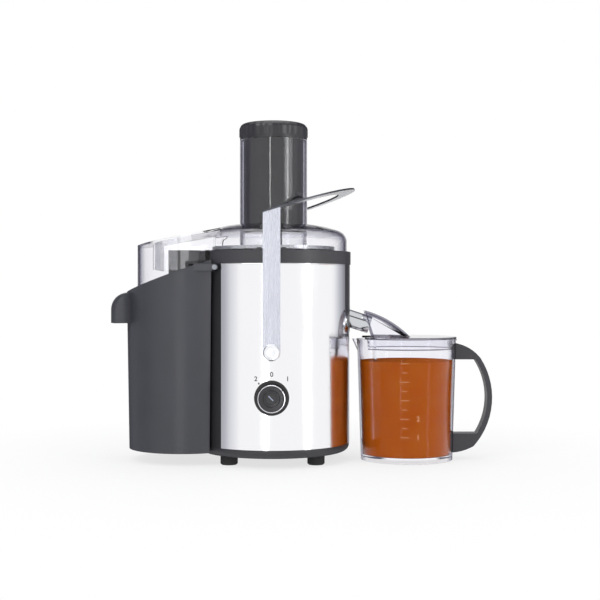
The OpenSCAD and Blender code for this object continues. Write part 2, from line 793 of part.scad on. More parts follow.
module grater_disc() {
    tooth_h = 1.6;
    color("#dcdee0") at_motor() difference() {
        union() {
            translate([0, 0, basket_z]) cylinder(r = grater_r, h = grater_t);
            for (turn = [1:4], i = [0:grater_teeth - 1])
                rotate([0, 0, i * 360 / grater_teeth + turn * 9])
                    translate([grater_r * (0.32 + 0.15 * turn), -0.5, basket_z])
                        cube([2.6, 1, grater_t + tooth_h]);
        }
        cylinder(r = shaft_r + seat_gap, h = basket_z + 20);
    }
}

module basket_nut() {
    color("#2c2c30") at_motor() translate([0, 0, basket_z + grater_t]) difference() {
        rotate_extrude() polygon(concat([[0, 0], [10, 0], [10, 2]],
            arc(4, 2, 6, 0, 90, 8), [[0, nut_h]]));
        translate([0, 0, -1]) cylinder(r = shaft_r + 0.02, h = nut_h - 1.2);
    }
}

// ---- Filter bowl ----

// Everything along the spout's sloping axis: x runs out of the body
module along_spout() {
    translate([body_r, 0, notch_z + spout_rise]) rotate([0, spout_deg, 0]) children();
}

module filter_bowl() {
    band_in = band_r - bowl_wall;
    apron_r = notch_r - 0.6;
    apron_x = body_r - 26;
    pipe_r = spout_r + 2.4;
    well_x = body_r - 20;
    well_r = spout_r - 0.6;
    chute_x = -(band_r + pulp_chute_reach);
    chute_in = -(body_r + bin_gap + bin_wall + 2);
    chute_low_z = shell_top_z - pulp_chute_drop;
    color("#3a3a3f") at_motor() difference() {
        union() {
            // bowl, collar and rim band
            translate([0, 0, bowl_low]) ring(bowl_r, bowl_r - bowl_wall, band_top - bowl_low);
            translate([0, 0, bowl_low]) ring(bowl_r, collar_r, bowl_wall);
            translate([0, 0, bowl_low]) ring(collar_r + bowl_wall, collar_r, bowl_wall + collar_h);
            translate([0, 0, shell_top_z]) ring(band_r, bowl_r - 1, bowl_wall);
            translate([0, 0, shell_top_z]) ring(band_r, band_in, band_h);
            // apron that fills the housing's notch: a skin, and a rib along its edge
            intersection() {
                notch(apron_r, apron_x, body_r + 1);
                difference() {
                    cylinder(r = body_r, h = shell_top_z + 1);
                    cylinder(r = body_r - 3, h = shell_top_z + 1);
                }
            }
            intersection() {
                difference() {
                    notch(apron_r, apron_x, body_r + 1);
                    notch(apron_r - bowl_wall, apron_x - 1, body_r + 2);
                }
                difference() {
                    cylinder(r = body_r - 2, h = shell_top_z + 1);
                    cylinder(r = bowl_r - 1, h = shell_top_z + 1);
                }
            }
            // outlet pipe under the bowl's floor
            intersection() {
                union() {
                    along_spout() rotate([0, 90, 0]) translate([0, 0, -24]) cylinder(r = pipe_r, h = 30);
                    translate([well_x, 0, notch_z + spout_rise + 2])
                        cylinder(r = well_r + 2, h = bowl_low - notch_z - spout_rise);
                }
                cylinder(r = body_r, h = bowl_floor_z);
                notch(apron_r, apron_x - 20, body_r + 1);
            }
            // pulp chute over the bin
            translate([chute_x, -pulp_chute_half, chute_low_z])
                cube([chute_in - chute_x, 2 * pulp_chute_half, band_top - chute_low_z + 1]);
            difference() {
                translate([chute_in - 1, -pulp_chute_half, shell_top_z])
                    cube([-chute_in - bowl_r + 8, 2 * pulp_chute_half, band_h + 1]);
                cylinder(r = band_r - 1, h = 300);
            }
            // guides beside the locking arm
            front_and_back() for (side = [-1, 1])
                translate([side * (strap_w / 2 + 4) - 2.5, -band_r + 0.4, band_top - 1]) cube([5, 3, 3.4]);
        }
        // way of the pulp
        translate([chute_x + bowl_wall, -pulp_chute_half + bowl_wall, chute_low_z - 1])
            cube([chute_in - chute_x - 2 * bowl_wall, 2 * (pulp_chute_half - bowl_wall), band_h + 50]);
        difference() {
            translate([chute_x + bowl_wall, -pulp_chute_half + bowl_wall, shell_top_z + bowl_wall])
                cube([band_r, 2 * (pulp_chute_half - bowl_wall), band_h + 20]);
            cylinder(r = band_r, h = 300);
        }
        // way of the juice
        translate([well_x, 0, notch_z + spout_rise + 4]) cylinder(r = well_r, h = bowl_floor_z);
        along_spout() rotate([0, 90, 0]) {
            translate([0, 0, -21]) cylinder(r = spout_r - spout_wall, h = 40);
            translate([0, 0, -7]) cylinder(r = spout_r + seat_gap, h = 40);
        }
    }
}

module bowl_gasket() {
    color("#b9bcc2") at_motor() translate([0, 0, rim_floor_z])
        ring(cover_r + 0.3, cover_r - cover_wall - 0.3, gasket_t);
}

module juice_spout() {
    color("#c4c6ca") at_motor() along_spout() rotate([0, 90, 0]) difference() {
        translate([0, 0, -7]) cylinder(r = spout_r, h = spout_reach + 7);
        translate([0, 0, -8]) cylinder(r = spout_r - spout_wall, h = spout_reach + 10);
    }
}

// ---- Cover ----

// The crown's section, inset by the given wall
function crown_section(inset, low_z, centre_x) =
    let (
        shoulder_x = cover_r - shoulder_r,
        crown_x = shoulder_x + (shoulder_r - crown_r) * cos(shoulder_deg),
        last = acos((chute_r - 0.5 - crown_x) / crown_r),
        crown_y = crown_z - crown_r * sin(last),
        shoulder_z = crown_y + (crown_r - shoulder_r) * sin(shoulder_deg)
    )
    concat([[centre_x, low_z], [cover_r - inset, low_z]],
        arc(shoulder_x, shoulder_z, shoulder_r - inset, 0, shoulder_deg, 8),
        arc(crown_x, crown_y, crown_r - inset, shoulder_deg, last, 8),
        [[centre_x, crown_z - inset]]);

// The extension over the bin, inset by the given wall
module bin_hood(inset, low_z) {
    skirt_x = -(body_r + bin_gap + bin_wall + 4);
    roof_z = crown_z + 4 - inset;
    difference() {
        translate([0, 0, low_z]) linear_extrude(height = crown_z + 10 - low_z) union() {
            translate([bin_x, 0]) circle(r = hood_r - inset);
            translate([bin_x, -hood_r + inset]) square([-bin_x - 60, 2 * (hood_r - inset)]);
        }
        translate([0, 0, roof_z]) rotate([0, -hood_deg, 0]) translate([-400, -200, 0]) cube([500, 400, 200]);
        translate([0, 0, low_z - 1]) cylinder(r = band_r + move_gap + inset, h = band_top + move_gap - low_z + 1);
        translate([skirt_x, -200, low_z - 1]) cube([300, 400, shell_top_z + 3 - low_z + 1]);
    }
}

// The solid of revolution under the crown's outer or inner face
module crown_solid(inset, low_z) { rotate_extrude() polygon(crown_section(inset, low_z, 0)); }

module juicer_cover() {
    color([0.86, 0.89, 0.92, 0.4]) at_motor() union() {
        difference() {
            crown_solid(0, cover_low);
            crown_solid(cover_wall, cover_low - 1);
            bin_hood(cover_wall, hood_low_z - 1);
            translate([0, 0, cover_low]) cylinder(r = chute_r, h = chute_top);
        }
        // lugs under the locking arm's catches
        front_and_back() intersection() {
            translate([-7, -band_r + 0.5, band_top + move_gap])
                cube([14, 8, lug_top - band_top - move_gap]);
            difference() {
                cylinder(r = band_r - 0.5, h = lug_top + 1);
                cylinder(r = cover_r - 1, h = lug_top + 1);
            }
        }
    }
}

module pulp_hood() {
    guide_x = hood_left + 24;
    guide_half = pulp_chute_half + 4;
    guide_z = shell_top_z - 7;
    color([0.86, 0.89, 0.92, 0.4]) at_motor() difference() {
        union() {
            difference() {
                bin_hood(0, hood_low_z);
                bin_hood(cover_wall, hood_low_z - 1);
            }
            // guide walls round the falling pulp
            intersection() {
                translate([0, 0, guide_z]) difference() {
                    translate([guide_x, -guide_half, 0]) cube([28, 2 * guide_half, 100]);
                    translate([guide_x + 2, -guide_half + 2, -1]) cube([28, 2 * guide_half - 4, 102]);
                }
                bin_hood(1, guide_z);
            }
        }
        crown_solid(0, cover_low - 1);
        // room for the bowl's pulp chute beside its rim band
        translate([-band_r - 6, -pulp_chute_half - move_gap, hood_low_z])
            cube([20, 2 * (pulp_chute_half + move_gap), band_top + 2 - hood_low_z]);
    }
}

module feed_chute() {
    color([0.86, 0.89, 0.92, 0.4]) at_motor() translate([0, 0, chute_low])
        ring(chute_r, chute_r - chute_wall, chute_top - chute_low);
}

module pusher_tube() {
    r = chute_r - chute_wall - pusher_gap;
    low = chute_top - pusher_len;
    color("#3c3d42") at_motor() rotate_extrude() polygon([
        [0, low], [r - 2, low], [r, low + 2], [r, chute_top + 8], [r - pusher_wall, chute_top + 8],
        [r - pusher_wall, low + pusher_wall + 1], [0, low + pusher_wall + 1]]);
}

module pusher_cap() {
    r = chute_r + cap_lip;
    seat_r = chute_r - chute_wall - pusher_gap + seat_gap;
    low = chute_top + seat_gap;
    round_r = 7;
    color("#3f4045") at_motor() rotate_extrude() polygon(concat(
        [[seat_r, low], [chute_r, low], [chute_r, low + 3], [r, low + 4.2], [r, low + cap_h - round_r - 1.5]],
        arc(r - round_r, low + cap_h - round_r - 1.5, round_r, 0, 80, 8),
        [[0, low + cap_h], [0, chute_top + 8 + seat_gap], [seat_r, chute_top + 8 + seat_gap]]));
}

// ---- Locking arm ----

module locking_arm() {
    half = strap_w / 2;
    lift = half * tan(loop_deg);
    lead = 5;
    color("#d5d7da") at_motor() difference() {
        union() {
            front_and_back() {
                // strap
                translate([0, -strap_y, pivot_z]) rotate([90, 0, 0]) linear_extrude(height = strap_t) union() {
                    circle(r = half);
                    polygon([[-half, 0], [half, 0], [half, fold_h + lift], [-half, fold_h - lift]]);
                }
                // catch that holds the cover down, and pad that works the safety switch
                translate([-5, -strap_y - 0.5, catch_z]) cube([10, 5.5, 2]);
                translate([0, 0, plunger_z]) out_front(3, strap_y - pad_t, strap_y + 0.5);
            }
            // loop
            translate([0, 0, fold_z]) rotate([0, -loop_deg, 0]) linear_extrude(height = strap_t) {
                difference() {
                    translate([lead, 0]) circle(r = strap_out);
                    translate([lead, 0]) circle(r = strap_out - loop_w);
                    translate([lead - 2 * strap_out, -strap_out]) square([2 * strap_out, 2 * strap_out]);
                }
                front_and_back() translate([-half / cos(loop_deg), -strap_out])
                    square([half / cos(loop_deg) + lead, loop_w]);
            }
        }
        front_and_back() translate([0, 0, pivot_z]) out_front(rivet_r + run_fit, strap_y - 5, strap_out + 5);
    }
}

module arm_rivets() {
    color("#cfd0d3") at_motor() front_and_back() translate([0, 0, pivot_z]) union() {
        out_front(rivet_r, fitting_in - 4, strap_out + 1);
        out_front(rivet_r + 3, fitting_in - 2.5, fitting_in);
        translate([0, -strap_out - 0.3, 0]) rotate([90, 0, 0]) rotate_extrude() polygon([
            [0, 0], [rivet_head_r, 0], [rivet_head_r, 1.6], [rivet_head_r - 1.2, rivet_head_t],
            [rivet_r + 1, rivet_head_t - 0.8], [0, rivet_head_t - 0.2]]);
    }
}

module pivot_bushes() {
    color("#e8e8e4") at_motor() front_and_back() translate([0, 0, pivot_z]) difference() {
        out_front(bush_r, fitting_in, strap_y - 0.3);
        out_front(rivet_r + 0.02, fitting_in - 1, strap_y + 1);
    }
}

// ---- Control and switches ----

module knob_bezel() {
    color("#17171a") at_motor() translate([0, 0, knob_z]) difference() {
        union() {
            intersection() {
                out_front(bezel_r, body_r - 6, bezel_front);
                difference() {
                    out_front(bezel_r + 1, body_r - 7, bezel_front + 1);
                    translate([0, 0, -50]) cylinder(r = body_r + 0.05, h = 100);
                }
            }
            out_front(sleeve_r, fitting_in, bezel_front - 0.5);
        }
        out_front(spindle_r + run_fit, fitting_in - 1, bezel_front + 1);
        out_front(knob_r - 3, bezel_front - 1, bezel_front + 1);
    }
}

module speed_knob() {
    face = 1.2;
    color("#26272b") at_motor() translate([0, 0, knob_z]) rotate([90, 0, 0]) difference() {
        union() {
            translate([0, 0, knob_back]) rotate_extrude() polygon([
                [0, 0], [knob_r, 0], [knob_r, knob_len - 2.5], [knob_r - 1.4, knob_len - 0.6],
                [knob_r - 3, knob_len], [knob_r - 4, knob_len], [knob_r - 4.6, knob_len - face],
                [3, knob_len - face], [0, knob_len - face]]);
            // pointer bar across the face
            rotate([0, 0, 45]) translate([-1.1, -knob_r + 4.5, knob_front - 2 * face])
                cube([2.2, 2 * knob_r - 9, 2 * face]);
        }
        for (i = [0:35]) rotate([0, 0, i * 10]) translate([knob_r + 0.35, 0, knob_back - 1])
            cylinder(r = 0.7, h = knob_len - 2, $fn = 16);
        translate([0, 0, knob_back - 1]) cylinder(r = spindle_r + 0.02, h = knob_len - 4);
    }
}

module switch_spindle() {
    color("#c9cacc") at_motor() translate([0, 0, knob_z])
        out_front(spindle_r, fitting_in - 14, knob_front - 6);
}

module speed_switch() {
    color("#e2ded2") at_motor() translate([0, 0, knob_z]) difference() {
        union() {
            translate([-13, -fitting_in + 0.1, -12]) cube([26, switch_depth, 24]);
            for (x = [-8, 0, 8]) translate([x - 1.5, -fitting_in + switch_depth - 1, -3]) cube([3, 5, 6]);
        }
        out_front(spindle_r + run_fit, fitting_in - 15, fitting_in + 1);
    }
}

module safety_switch() {
    guide_r = plunger_r + 2.5;
    color("#2a2a2d") at_motor() translate([0, 0, plunger_z]) difference() {
        union() {
            out_front(guide_r, fitting_in - 1, body_r + 0.3);
            translate([-10, -fitting_in, -7.5]) cube([20, 17, 12]);
        }
        out_front(plunger_r + run_fit, fitting_in - 13, body_r + 2);
    }
}

module safety_plunger() {
    color("#d9d4c4") at_motor() translate([0, 0, plunger_z])
        out_front(plunger_r, fitting_in - 7, plunger_tip);
}

// ---- Pulp bin ----

module bin_pegs() {
    color("#b7bac0") at_motor() front_and_back() translate([peg_x, 0, peg_z]) union() {
        out_front(peg_r, peg_y - peg_seat, ear_y + ear_t + 1);
        out_front(peg_head_r, ear_y + ear_t + 0.3, ear_y + ear_t + 2.2);
    }
}

// The space of the bin, inset by the given wall
module bin_space(inset, low_z) {
    slope = (bin_r - bin_foot_r) / (shell_top_z - bin_z);
    difference() {
        translate([bin_x, 0, low_z]) cylinder(
            r1 = bin_foot_r - inset + slope * (low_z - bin_z),
            r2 = bin_foot_r - inset + slope * (shell_top_z + 20 - bin_z),
            h = shell_top_z + 20 - low_z);
        translate([0, 0, low_z - 1]) cylinder(r = body_r + bin_gap + inset, h = shell_top_z + 20);
    }
}

// Everything under the bin's curved rim
module under_rim() {
    corner_x = peg_x - bin_gap / sqrt(2);
    run = corner_x - bin_left;
    rise = rim_high_z - rim_low_z;
    chord = norm([run, rise]);
    rim_r = (chord * chord / 4 + rim_bow * rim_bow) / (2 * rim_bow);
    back = rim_r - rim_bow;
    translate([bin_left + run / 2 + rise / chord * back, 0, rim_low_z + rise / 2 - run / chord * back])
        rotate([90, 0, 0]) cylinder(r = rim_r, h = 2 * bin_r + 60, center = true, $fn = 360);
}

// The block under the curled lip's outer or inner face, round the bin's axis
module lip_block(bend_r, half_deg, low_z) {
    far = 2 * bin_r;
    intersection() {
        rotate_extrude() polygon(concat([[lip_root, low_z]],
            arc(lip_root, rim_low_z - lip_bend, bend_r, 90, 0, 10), [[lip_root + bend_r, low_z]]));
        translate([0, 0, low_z - 1]) linear_extrude(height = rim_low_z - low_z + 2)
            polygon([[0, 0], [-far, far * tan(half_deg)], [-far, -far * tan(half_deg)]]);
    }
}

module pulp_bin() {
    wall_top = shell_top_z - 9;
    color("#4b4c53") at_motor() difference() {
        union() {
            intersection() {
                bin_space(0, bin_z);
                under_rim();
            }
            // curled grip lip, with a web at each end
            translate([bin_x, 0, 0]) difference() {
                lip_block(lip_bend, lip_deg, lip_foot_z);
                lip_block(lip_bend - lip_t, lip_deg - 2, lip_foot_z - 1);
            }
            // ears on the pegs
            front_and_back() translate([peg_x, 0, peg_z]) {
                out_front(ear_r, ear_y, ear_y + ear_t);
                translate([-24, -ear_y - ear_t, -ear_r]) cube([24, ear_t, 2 * ear_r]);
            }
        }
        bin_space(bin_wall, bin_z + bin_wall);
        // room for the cover's hood over the inner wall
        translate([-body_r - 16, -hood_r - 2, wall_top]) cube([40, 2 * hood_r + 4, 30]);
        // slots that drop over the pegs
        front_and_back() translate([peg_x, 0, peg_z]) {
            out_front(peg_r + run_fit, ear_y - 1, ear_y + ear_t + 1);
            translate([-peg_r - run_fit, -ear_y - ear_t - 1, -20]) cube([2 * (peg_r + run_fit), ear_t + 2, 20]);
        }
    }
}

// ---- Jug ----

module juice_jug() {
    lip_top = 5 + lip_out;
    lip_x = -jug_r + 5;
    lip_drop_z = 22;
    color([0.88, 0.91, 0.94, 0.4]) at_jug() difference() {
        union() {
            cylinder(r1 = jug_foot_r, r2 = jug_r, h = jug_h);
            translate([0, 0, jug_h - 1.6]) cylinder(r = jug_r + 0.8, h = 1.6);
            translate([lip_x, 0, jug_h - lip_drop_z]) cylinder(r1 = 0.8, r2 = lip_top, h = lip_drop_z);
        }
        translate([0, 0, jug_floor_z]) cylinder(
            r1 = jug_foot_r + jug_taper * jug_floor_z - jug_wall,
            r2 = jug_r - jug_wall + jug_taper, h = jug_h + 1 - jug_floor_z);
        translate([0, 0, -1]) cylinder(r = jug_foot_r - jug_wall, h = jug_ring + 1);
        translate([lip_x, 0, jug_h - lip_drop_z + 3]) cylinder(r1 = 0.8, r2 = lip_top - 0.9, h = lip_drop_z - 2.9);
    }
}

module jug_handle() {
    grip_r = 86.6;
    grip_z = 73.4;
    grip_t = 6;
    grip_x = jug_r + handle_reach - grip_r;
    block_top = jug_h - 4.5;
    block_low = 8;
    arm_top = jug_h - 24.4;
    arm_low = 30.8;
    top_r = 47;
    low_r = 58.6;
    outline = concat(
        [[jug_r - 8, block_low]],
        arc(grip_x + 35.6, block_low + low_r, low_r, -86, -60, 5),
        arc(grip_x, grip_z, grip_r, -41.5, 32.3, 14),
        arc(grip_x + 35.6, block_top - top_r, top_r, 40, 82, 7),
        [[jug_r - 8, block_top + 0.6]]);
    color("#3f4045") at_jug() rotate([90, 0, 0]) difference() {
        linear_extrude(height = handle_w, center = true) polygon(outline);
        intersection() {
            translate([grip_x, grip_z, -handle_w]) cylinder(r = grip_r - grip_t, h = 2 * handle_w);
            translate([jug_r - 30, arm_low, -handle_w]) cube([100, arm_top - arm_low, 2 * handle_w]);
        }
        // seat on the jug's wall
        rotate([-90, 180, 0]) translate([0, 0, -1]) cylinder(
            r1 = jug_foot_r - jug_taper + seat_gap, r2 = jug_r + seat_gap, h = jug_h + 1);
    }
}

module jug_lid() {
    roof_r = 118;
    mouth_x = -jug_r + 8.4;
    mouth_deg = 15;
    roof_x = mouth_x - roof_r * sin(mouth_deg);
    roof_z = jug_h + hood_h - roof_r * cos(mouth_deg);
    open_x = -18;
    color([0.86, 0.89, 0.92, 0.4]) at_jug() difference() {
        union() {
            translate([0, 0, lid_low]) cylinder(r = jug_r + 0.6, h = lid_h);
            translate([0, 0, jug_h - skirt_h]) ring(skirt_r, skirt_r - 2, skirt_h + 1);
            intersection() {
                translate([roof_x, 0, roof_z]) rotate([90, 0, 0])
                    cylinder(r = roof_r, h = 2 * (hood_half + hood_wall), center = true);
                translate([mouth_x, -hood_half - hood_wall, lid_low]) cube([jug_r, 2 * (hood_half + hood_wall), 60]);
            }
        }
        // inside of the hood, open to the spout
        difference() {
            intersection() {
                translate([roof_x, 0, roof_z]) rotate([90, 0, 0])
                    cylinder(r = roof_r - hood_wall, h = 2 * hood_half, center = true);
                translate([-2 * jug_r, -hood_half, lid_low - 1]) cube([3 * jug_r, 2 * hood_half, 60]);
            }
            translate([open_x, -hood_half - 1, lid_low - 2]) cube([2 * jug_r, 2 * hood_half + 2, lid_h + 2]);
        }
        translate([-2 * jug_r, -hood_half, jug_h - skirt_h - 1]) cube([2 * jug_r + open_x, 2 * hood_half, skirt_h + 2]);
        translate([mouth_x, -30, jug_h + hood_h]) rotate([0, 74, 0]) translate([0, 0, -20]) cube([80, 60, 20]);
    }
}

module froth_separator() {
    half = 34;
    low_z = 25;
    color([0.86, 0.89, 0.92, 0.4]) at_jug() translate([separator_x, -half, low_z])
        cube([separator_t, 2 * half, lid_low - low_z]);
}

base_pan();
rubber_feet();
base_screws();
body_shell();
steel_wrap();
terminal_block();
suppressor_capacitor();
wiring_loom();
cord_gland();
lower_bracket();
upper_bracket();
field_stack();
field_coils();
tie_bolts();
lower_bearing();
upper_bearing();
brush_holders();
carbon_brushes();
motor_mounts();
motor_screws();
shaft_seal();
motor_shaft();
armature_core();
armature_windings();
commutator();
cooling_fan();
drive_coupling();
filter_basket();
grater_disc();
basket_nut();
filter_bowl();
bowl_gasket();
juice_spout();
juicer_cover();
pulp_hood();
feed_chute();
pusher_tube();
pusher_cap();
locking_arm();
arm_rivets();
pivot_bushes();
knob_bezel();
speed_knob();
switch_spindle();
speed_switch();
safety_switch();
safety_plunger();
bin_pegs();
pulp_bin();
juice_jug();
jug_handle();
jug_lid();
froth_separator();
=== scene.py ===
import math

import bmesh
import bpy
from mathutils import Matrix, Vector
from mathutils.bvhtree import BVHTree


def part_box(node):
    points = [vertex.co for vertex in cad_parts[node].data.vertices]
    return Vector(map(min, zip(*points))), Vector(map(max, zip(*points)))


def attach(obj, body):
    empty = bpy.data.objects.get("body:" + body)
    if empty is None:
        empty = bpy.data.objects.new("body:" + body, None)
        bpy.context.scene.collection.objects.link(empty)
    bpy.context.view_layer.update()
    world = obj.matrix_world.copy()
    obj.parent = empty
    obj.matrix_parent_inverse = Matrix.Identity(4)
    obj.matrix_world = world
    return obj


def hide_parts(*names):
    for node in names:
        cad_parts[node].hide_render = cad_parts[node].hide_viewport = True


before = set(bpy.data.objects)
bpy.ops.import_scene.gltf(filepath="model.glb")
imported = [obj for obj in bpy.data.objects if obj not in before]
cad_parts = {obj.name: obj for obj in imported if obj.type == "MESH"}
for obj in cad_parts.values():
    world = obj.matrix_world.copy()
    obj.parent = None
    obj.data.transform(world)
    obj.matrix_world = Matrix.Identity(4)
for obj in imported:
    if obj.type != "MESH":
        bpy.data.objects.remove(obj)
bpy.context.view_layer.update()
MM = 0.001


# ---------------------------------------------------------------------------
# Motor base. The housing, the base pan and the bowl's pocket are injection
# moulded ABS with a fine spark-eroded skin; the pan clips and screws on from
# below, and stands on four moulded rubber feet.

def linear(hex_colour):
    """An sRGB hex value as the linear colour that sockets take."""
    parts = [int(hex_colour[i:i + 2], 16) / 255 for i in (1, 3, 5)]
    return tuple(c / 12.92 if c <= 0.04045 else ((c + 0.055) / 1.055) ** 2.4
                 for c in parts) + (1.0,)


def add_node(tree, kind, settings=None, values=None, links=None):
    """Adds one node: its settings, its sockets' values, its links as {socket: (node, output)}."""
    node = tree.nodes.new(kind)
    for name, value in (settings or {}).items():
        setattr(node, name, value)
    for name, value in (values or {}).items():
        node.inputs[name].default_value = value
    for name, (other, output) in (links or {}).items():
        tree.links.new(other.outputs[output], node.inputs[name])
    return node


def start_material(name, **values):
    """A material with one Principled shader; returns the material, its tree and the shader."""
    material = bpy.data.materials.new(name)
    material.use_nodes = True
    tree = material.node_tree
    tree.nodes.clear()
    sockets = {key.replace("_", " "): value for key, value in values.items()}
    shader = add_node(tree, "ShaderNodeBsdfPrincipled", values=sockets)
    add_node(tree, "ShaderNodeOutputMaterial", links={"Surface": (shader, "BSDF")})
    return material, tree, shader


def moulded_skin(name, colour, worn_colour, roughness, grain_mm=1.4, relief_mm=0.03):
    """Moulded plastic: an even eroded grain, and slow changes of tone where hands have polished it.

    A real grain is about 0.05 mm across; it is drawn coarser, so that it shows.
    """
    material, tree, shader = start_material(name, Roughness=roughness, IOR=1.54)
    place = add_node(tree, "ShaderNodeTexCoord")
    grain = add_node(tree, "ShaderNodeTexNoise",
                     values={"Scale": 1 / (grain_mm * MM), "Detail": 3.0, "Roughness": 0.55},
                     links={"Vector": (place, "Object")})
    relief = add_node(tree, "ShaderNodeBump",
                      values={"Strength": 0.35, "Distance": relief_mm * MM},
                      links={"Height": (grain, "Fac")})
    tree.links.new(relief.outputs["Normal"], shader.inputs["Normal"])
    cloud = add_node(tree, "ShaderNodeTexNoise", values={"Scale": 1 / (45 * MM), "Detail": 2.0},
                     links={"Vector": (place, "Object")})
    tone = add_node(tree, "ShaderNodeMix", settings={"data_type": "RGBA"},
                    values={6: linear(colour), 7: linear(worn_colour)}, links={0: (cloud, "Fac")})
    tree.links.new(tone.outputs[2], shader.inputs["Base Color"])
    polish = add_node(tree, "ShaderNodeMapRange",
                      values={"From Min": 0.3, "From Max": 0.7,
                              "To Min": roughness - 0.05, "To Max": roughness + 0.05},
                      links={"Value": (cloud, "Fac")})
    tree.links.new(polish.outputs["Result"], shader.inputs["Roughness"])
    return material


def dress(material, *names):
    """Gives CAD nodes their finish."""
    for name in names:
        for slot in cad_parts[name].material_slots:
            slot.material = material


def blank(node):
    """The CAD node's shape as one closed mesh, its flat faces whole."""
    bm = bmesh.new()
    bm.from_mesh(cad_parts[node].data)
    bmesh.ops.remove_doubles(bm, verts=bm.verts, dist=0.02 * MM)
    bmesh.ops.dissolve_limit(bm, angle_limit=math.radians(1.0), verts=bm.verts, edges=bm.edges)
    return bm


def round_edges(node, body, material, radius_mm, sharp_deg=28, segments=2, bm=None):
    """The CAD node as model.glb holds it, with its sharp edges rounded; stands in for the node."""
    bm = bm or blank(node)
    corners = [e for e in bm.edges
               if e.is_manifold and e.calc_face_angle() > math.radians(sharp_deg)]
    bmesh.ops.bevel(bm, geom=corners, offset=radius_mm * MM, offset_type="OFFSET",
                    segments=segments, profile=0.5, affect="EDGES", clamp_overlap=True, material=-1)
    return settle(bm, node + "_moulding", body, material, replaces=node)


def settle(bm, name, body, material, replaces=None):
    """Turns a finished bmesh into a smooth-shaded piece that rides on its body."""
    mesh = bpy.data.meshes.new(name)
    for face in bm.faces:
        face.smooth = True
    for edge in bm.edges:
        edge.smooth = not edge.is_manifold or edge.calc_face_angle() < math.radians(40)
    bm.to_mesh(mesh)
    bm.free()
    mesh.materials.append(material)
    piece = bpy.data.objects.new(name, mesh)
    bpy.context.scene.collection.objects.link(piece)
    even = piece.modifiers.new("even_shading", "WEIGHTED_NORMAL")
    even.keep_sharp = True
    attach(piece, body)
    if replaces:
        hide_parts(replaces)
    return piece


# Black ABS off an eroded mould: a deep grey-black with a broad, quiet sheen.
black_abs = moulded_skin("moulded_black_ABS", "#18181a", "#1f1f22", 0.42)
dress(black_abs, "body_shell", "cord_gland", "safety_switch")

# Charcoal ABS: the same skin a shade lighter, and a little duller from handling.
pan_abs = moulded_skin("moulded_charcoal_ABS_base", "#2a2a2e", "#323236", 0.45)
round_edges("base_pan", "machine", pan_abs, 0.8)

# Moulded rubber: nearly matt black, with hardly any highlight.
foot_rubber = moulded_skin("moulded_black_rubber", "#121214", "#1a1a1c", 0.75, grain_mm=1.0)
dress(foot_rubber, "rubber_feet", "motor_mounts", "shaft_seal")

# The machine's upright axis, which its round pieces share.
body_x = sum(corner[0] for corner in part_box("motor_shaft")) / 2

# ---------------------------------------------------------------------------
# Steel wrap. One sheet of polished stainless steel, rolled round the housing
# from one edge of the black stretch to the other and cut out round the spout.
# Polishing leaves a mirror with faint upright streaks and wiped smears in it.

sleeve_steel, tree, shader = start_material("polished_stainless_sheet", Metallic=1.0,
                                            Roughness=0.12, Base_Color=linear("#f5f5f7"))
place = add_node(tree, "ShaderNodeTexCoord")
rolling = add_node(tree, "ShaderNodeMapping", values={"Scale": (1.0, 1.0, 0.04)},
                   links={"Vector": (place, "Object")})
streaks = add_node(tree, "ShaderNodeTexNoise", values={"Scale": 1 / (1.6 * MM), "Detail": 4.0},
                   links={"Vector": (rolling, "Vector")})
smears = add_node(tree, "ShaderNodeTexNoise", values={"Scale": 1 / (60 * MM), "Detail": 3.0},
                  links={"Vector": (place, "Object")})
mixed = add_node(tree, "ShaderNodeMath", settings={"operation": "MULTIPLY"},
                 links={0: (streaks, "Fac"), 1: (smears, "Fac")})
haze = add_node(tree, "ShaderNodeMapRange",
                values={"From Min": 0.1, "From Max": 0.45, "To Min": 0.09, "To Max": 0.17},
                links={"Value": (mixed, "Value")})
tree.links.new(haze.outputs["Result"], shader.inputs["Roughness"])
dress(sleeve_steel, "steel_wrap")

# The sheet's top edge is rolled into a bead, front and back, clear of the bin and the spout.
wrap_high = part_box("steel_wrap")[1]
hem_r = 0.75 * MM
hem_sweep = math.radians(104.5)
hem_steel = start_material("polished_rolled_hem", Metallic=1.0, Roughness=0.08,
                           Base_Color=linear("#f4f4f6"))[0]
for side, start_deg in (("front", 231.5), ("back", 24.0)):
    bm = bmesh.new()
    bead = bmesh.ops.create_circle(bm, cap_ends=True, segments=12, radius=hem_r)["verts"]
    bmesh.ops.rotate(bm, cent=(0, 0, 0), matrix=Matrix.Rotation(math.radians(90), 3, "X"),
                     verts=bead)
    bmesh.ops.translate(bm, vec=(wrap_high[1] + 0.1 * MM, 0, wrap_high[2] - 0.9 * MM), verts=bead)
    bmesh.ops.rotate(bm, cent=(0, 0, 0), matrix=Matrix.Rotation(math.radians(start_deg), 3, "Z"),
                     verts=bead)
    bmesh.ops.spin(bm, geom=bm.faces[:] + bm.edges[:] + bm.verts[:], cent=(0, 0, 0),
                   axis=(0, 0, 1), angle=hem_sweep, steps=72)
    bmesh.ops.recalc_face_normals(bm, faces=bm.faces)
    bmesh.ops.translate(bm, vec=(body_x, 0, 0), verts=bm.verts)
    settle(bm, "steel_hem_" + side, "machine", hem_steel)


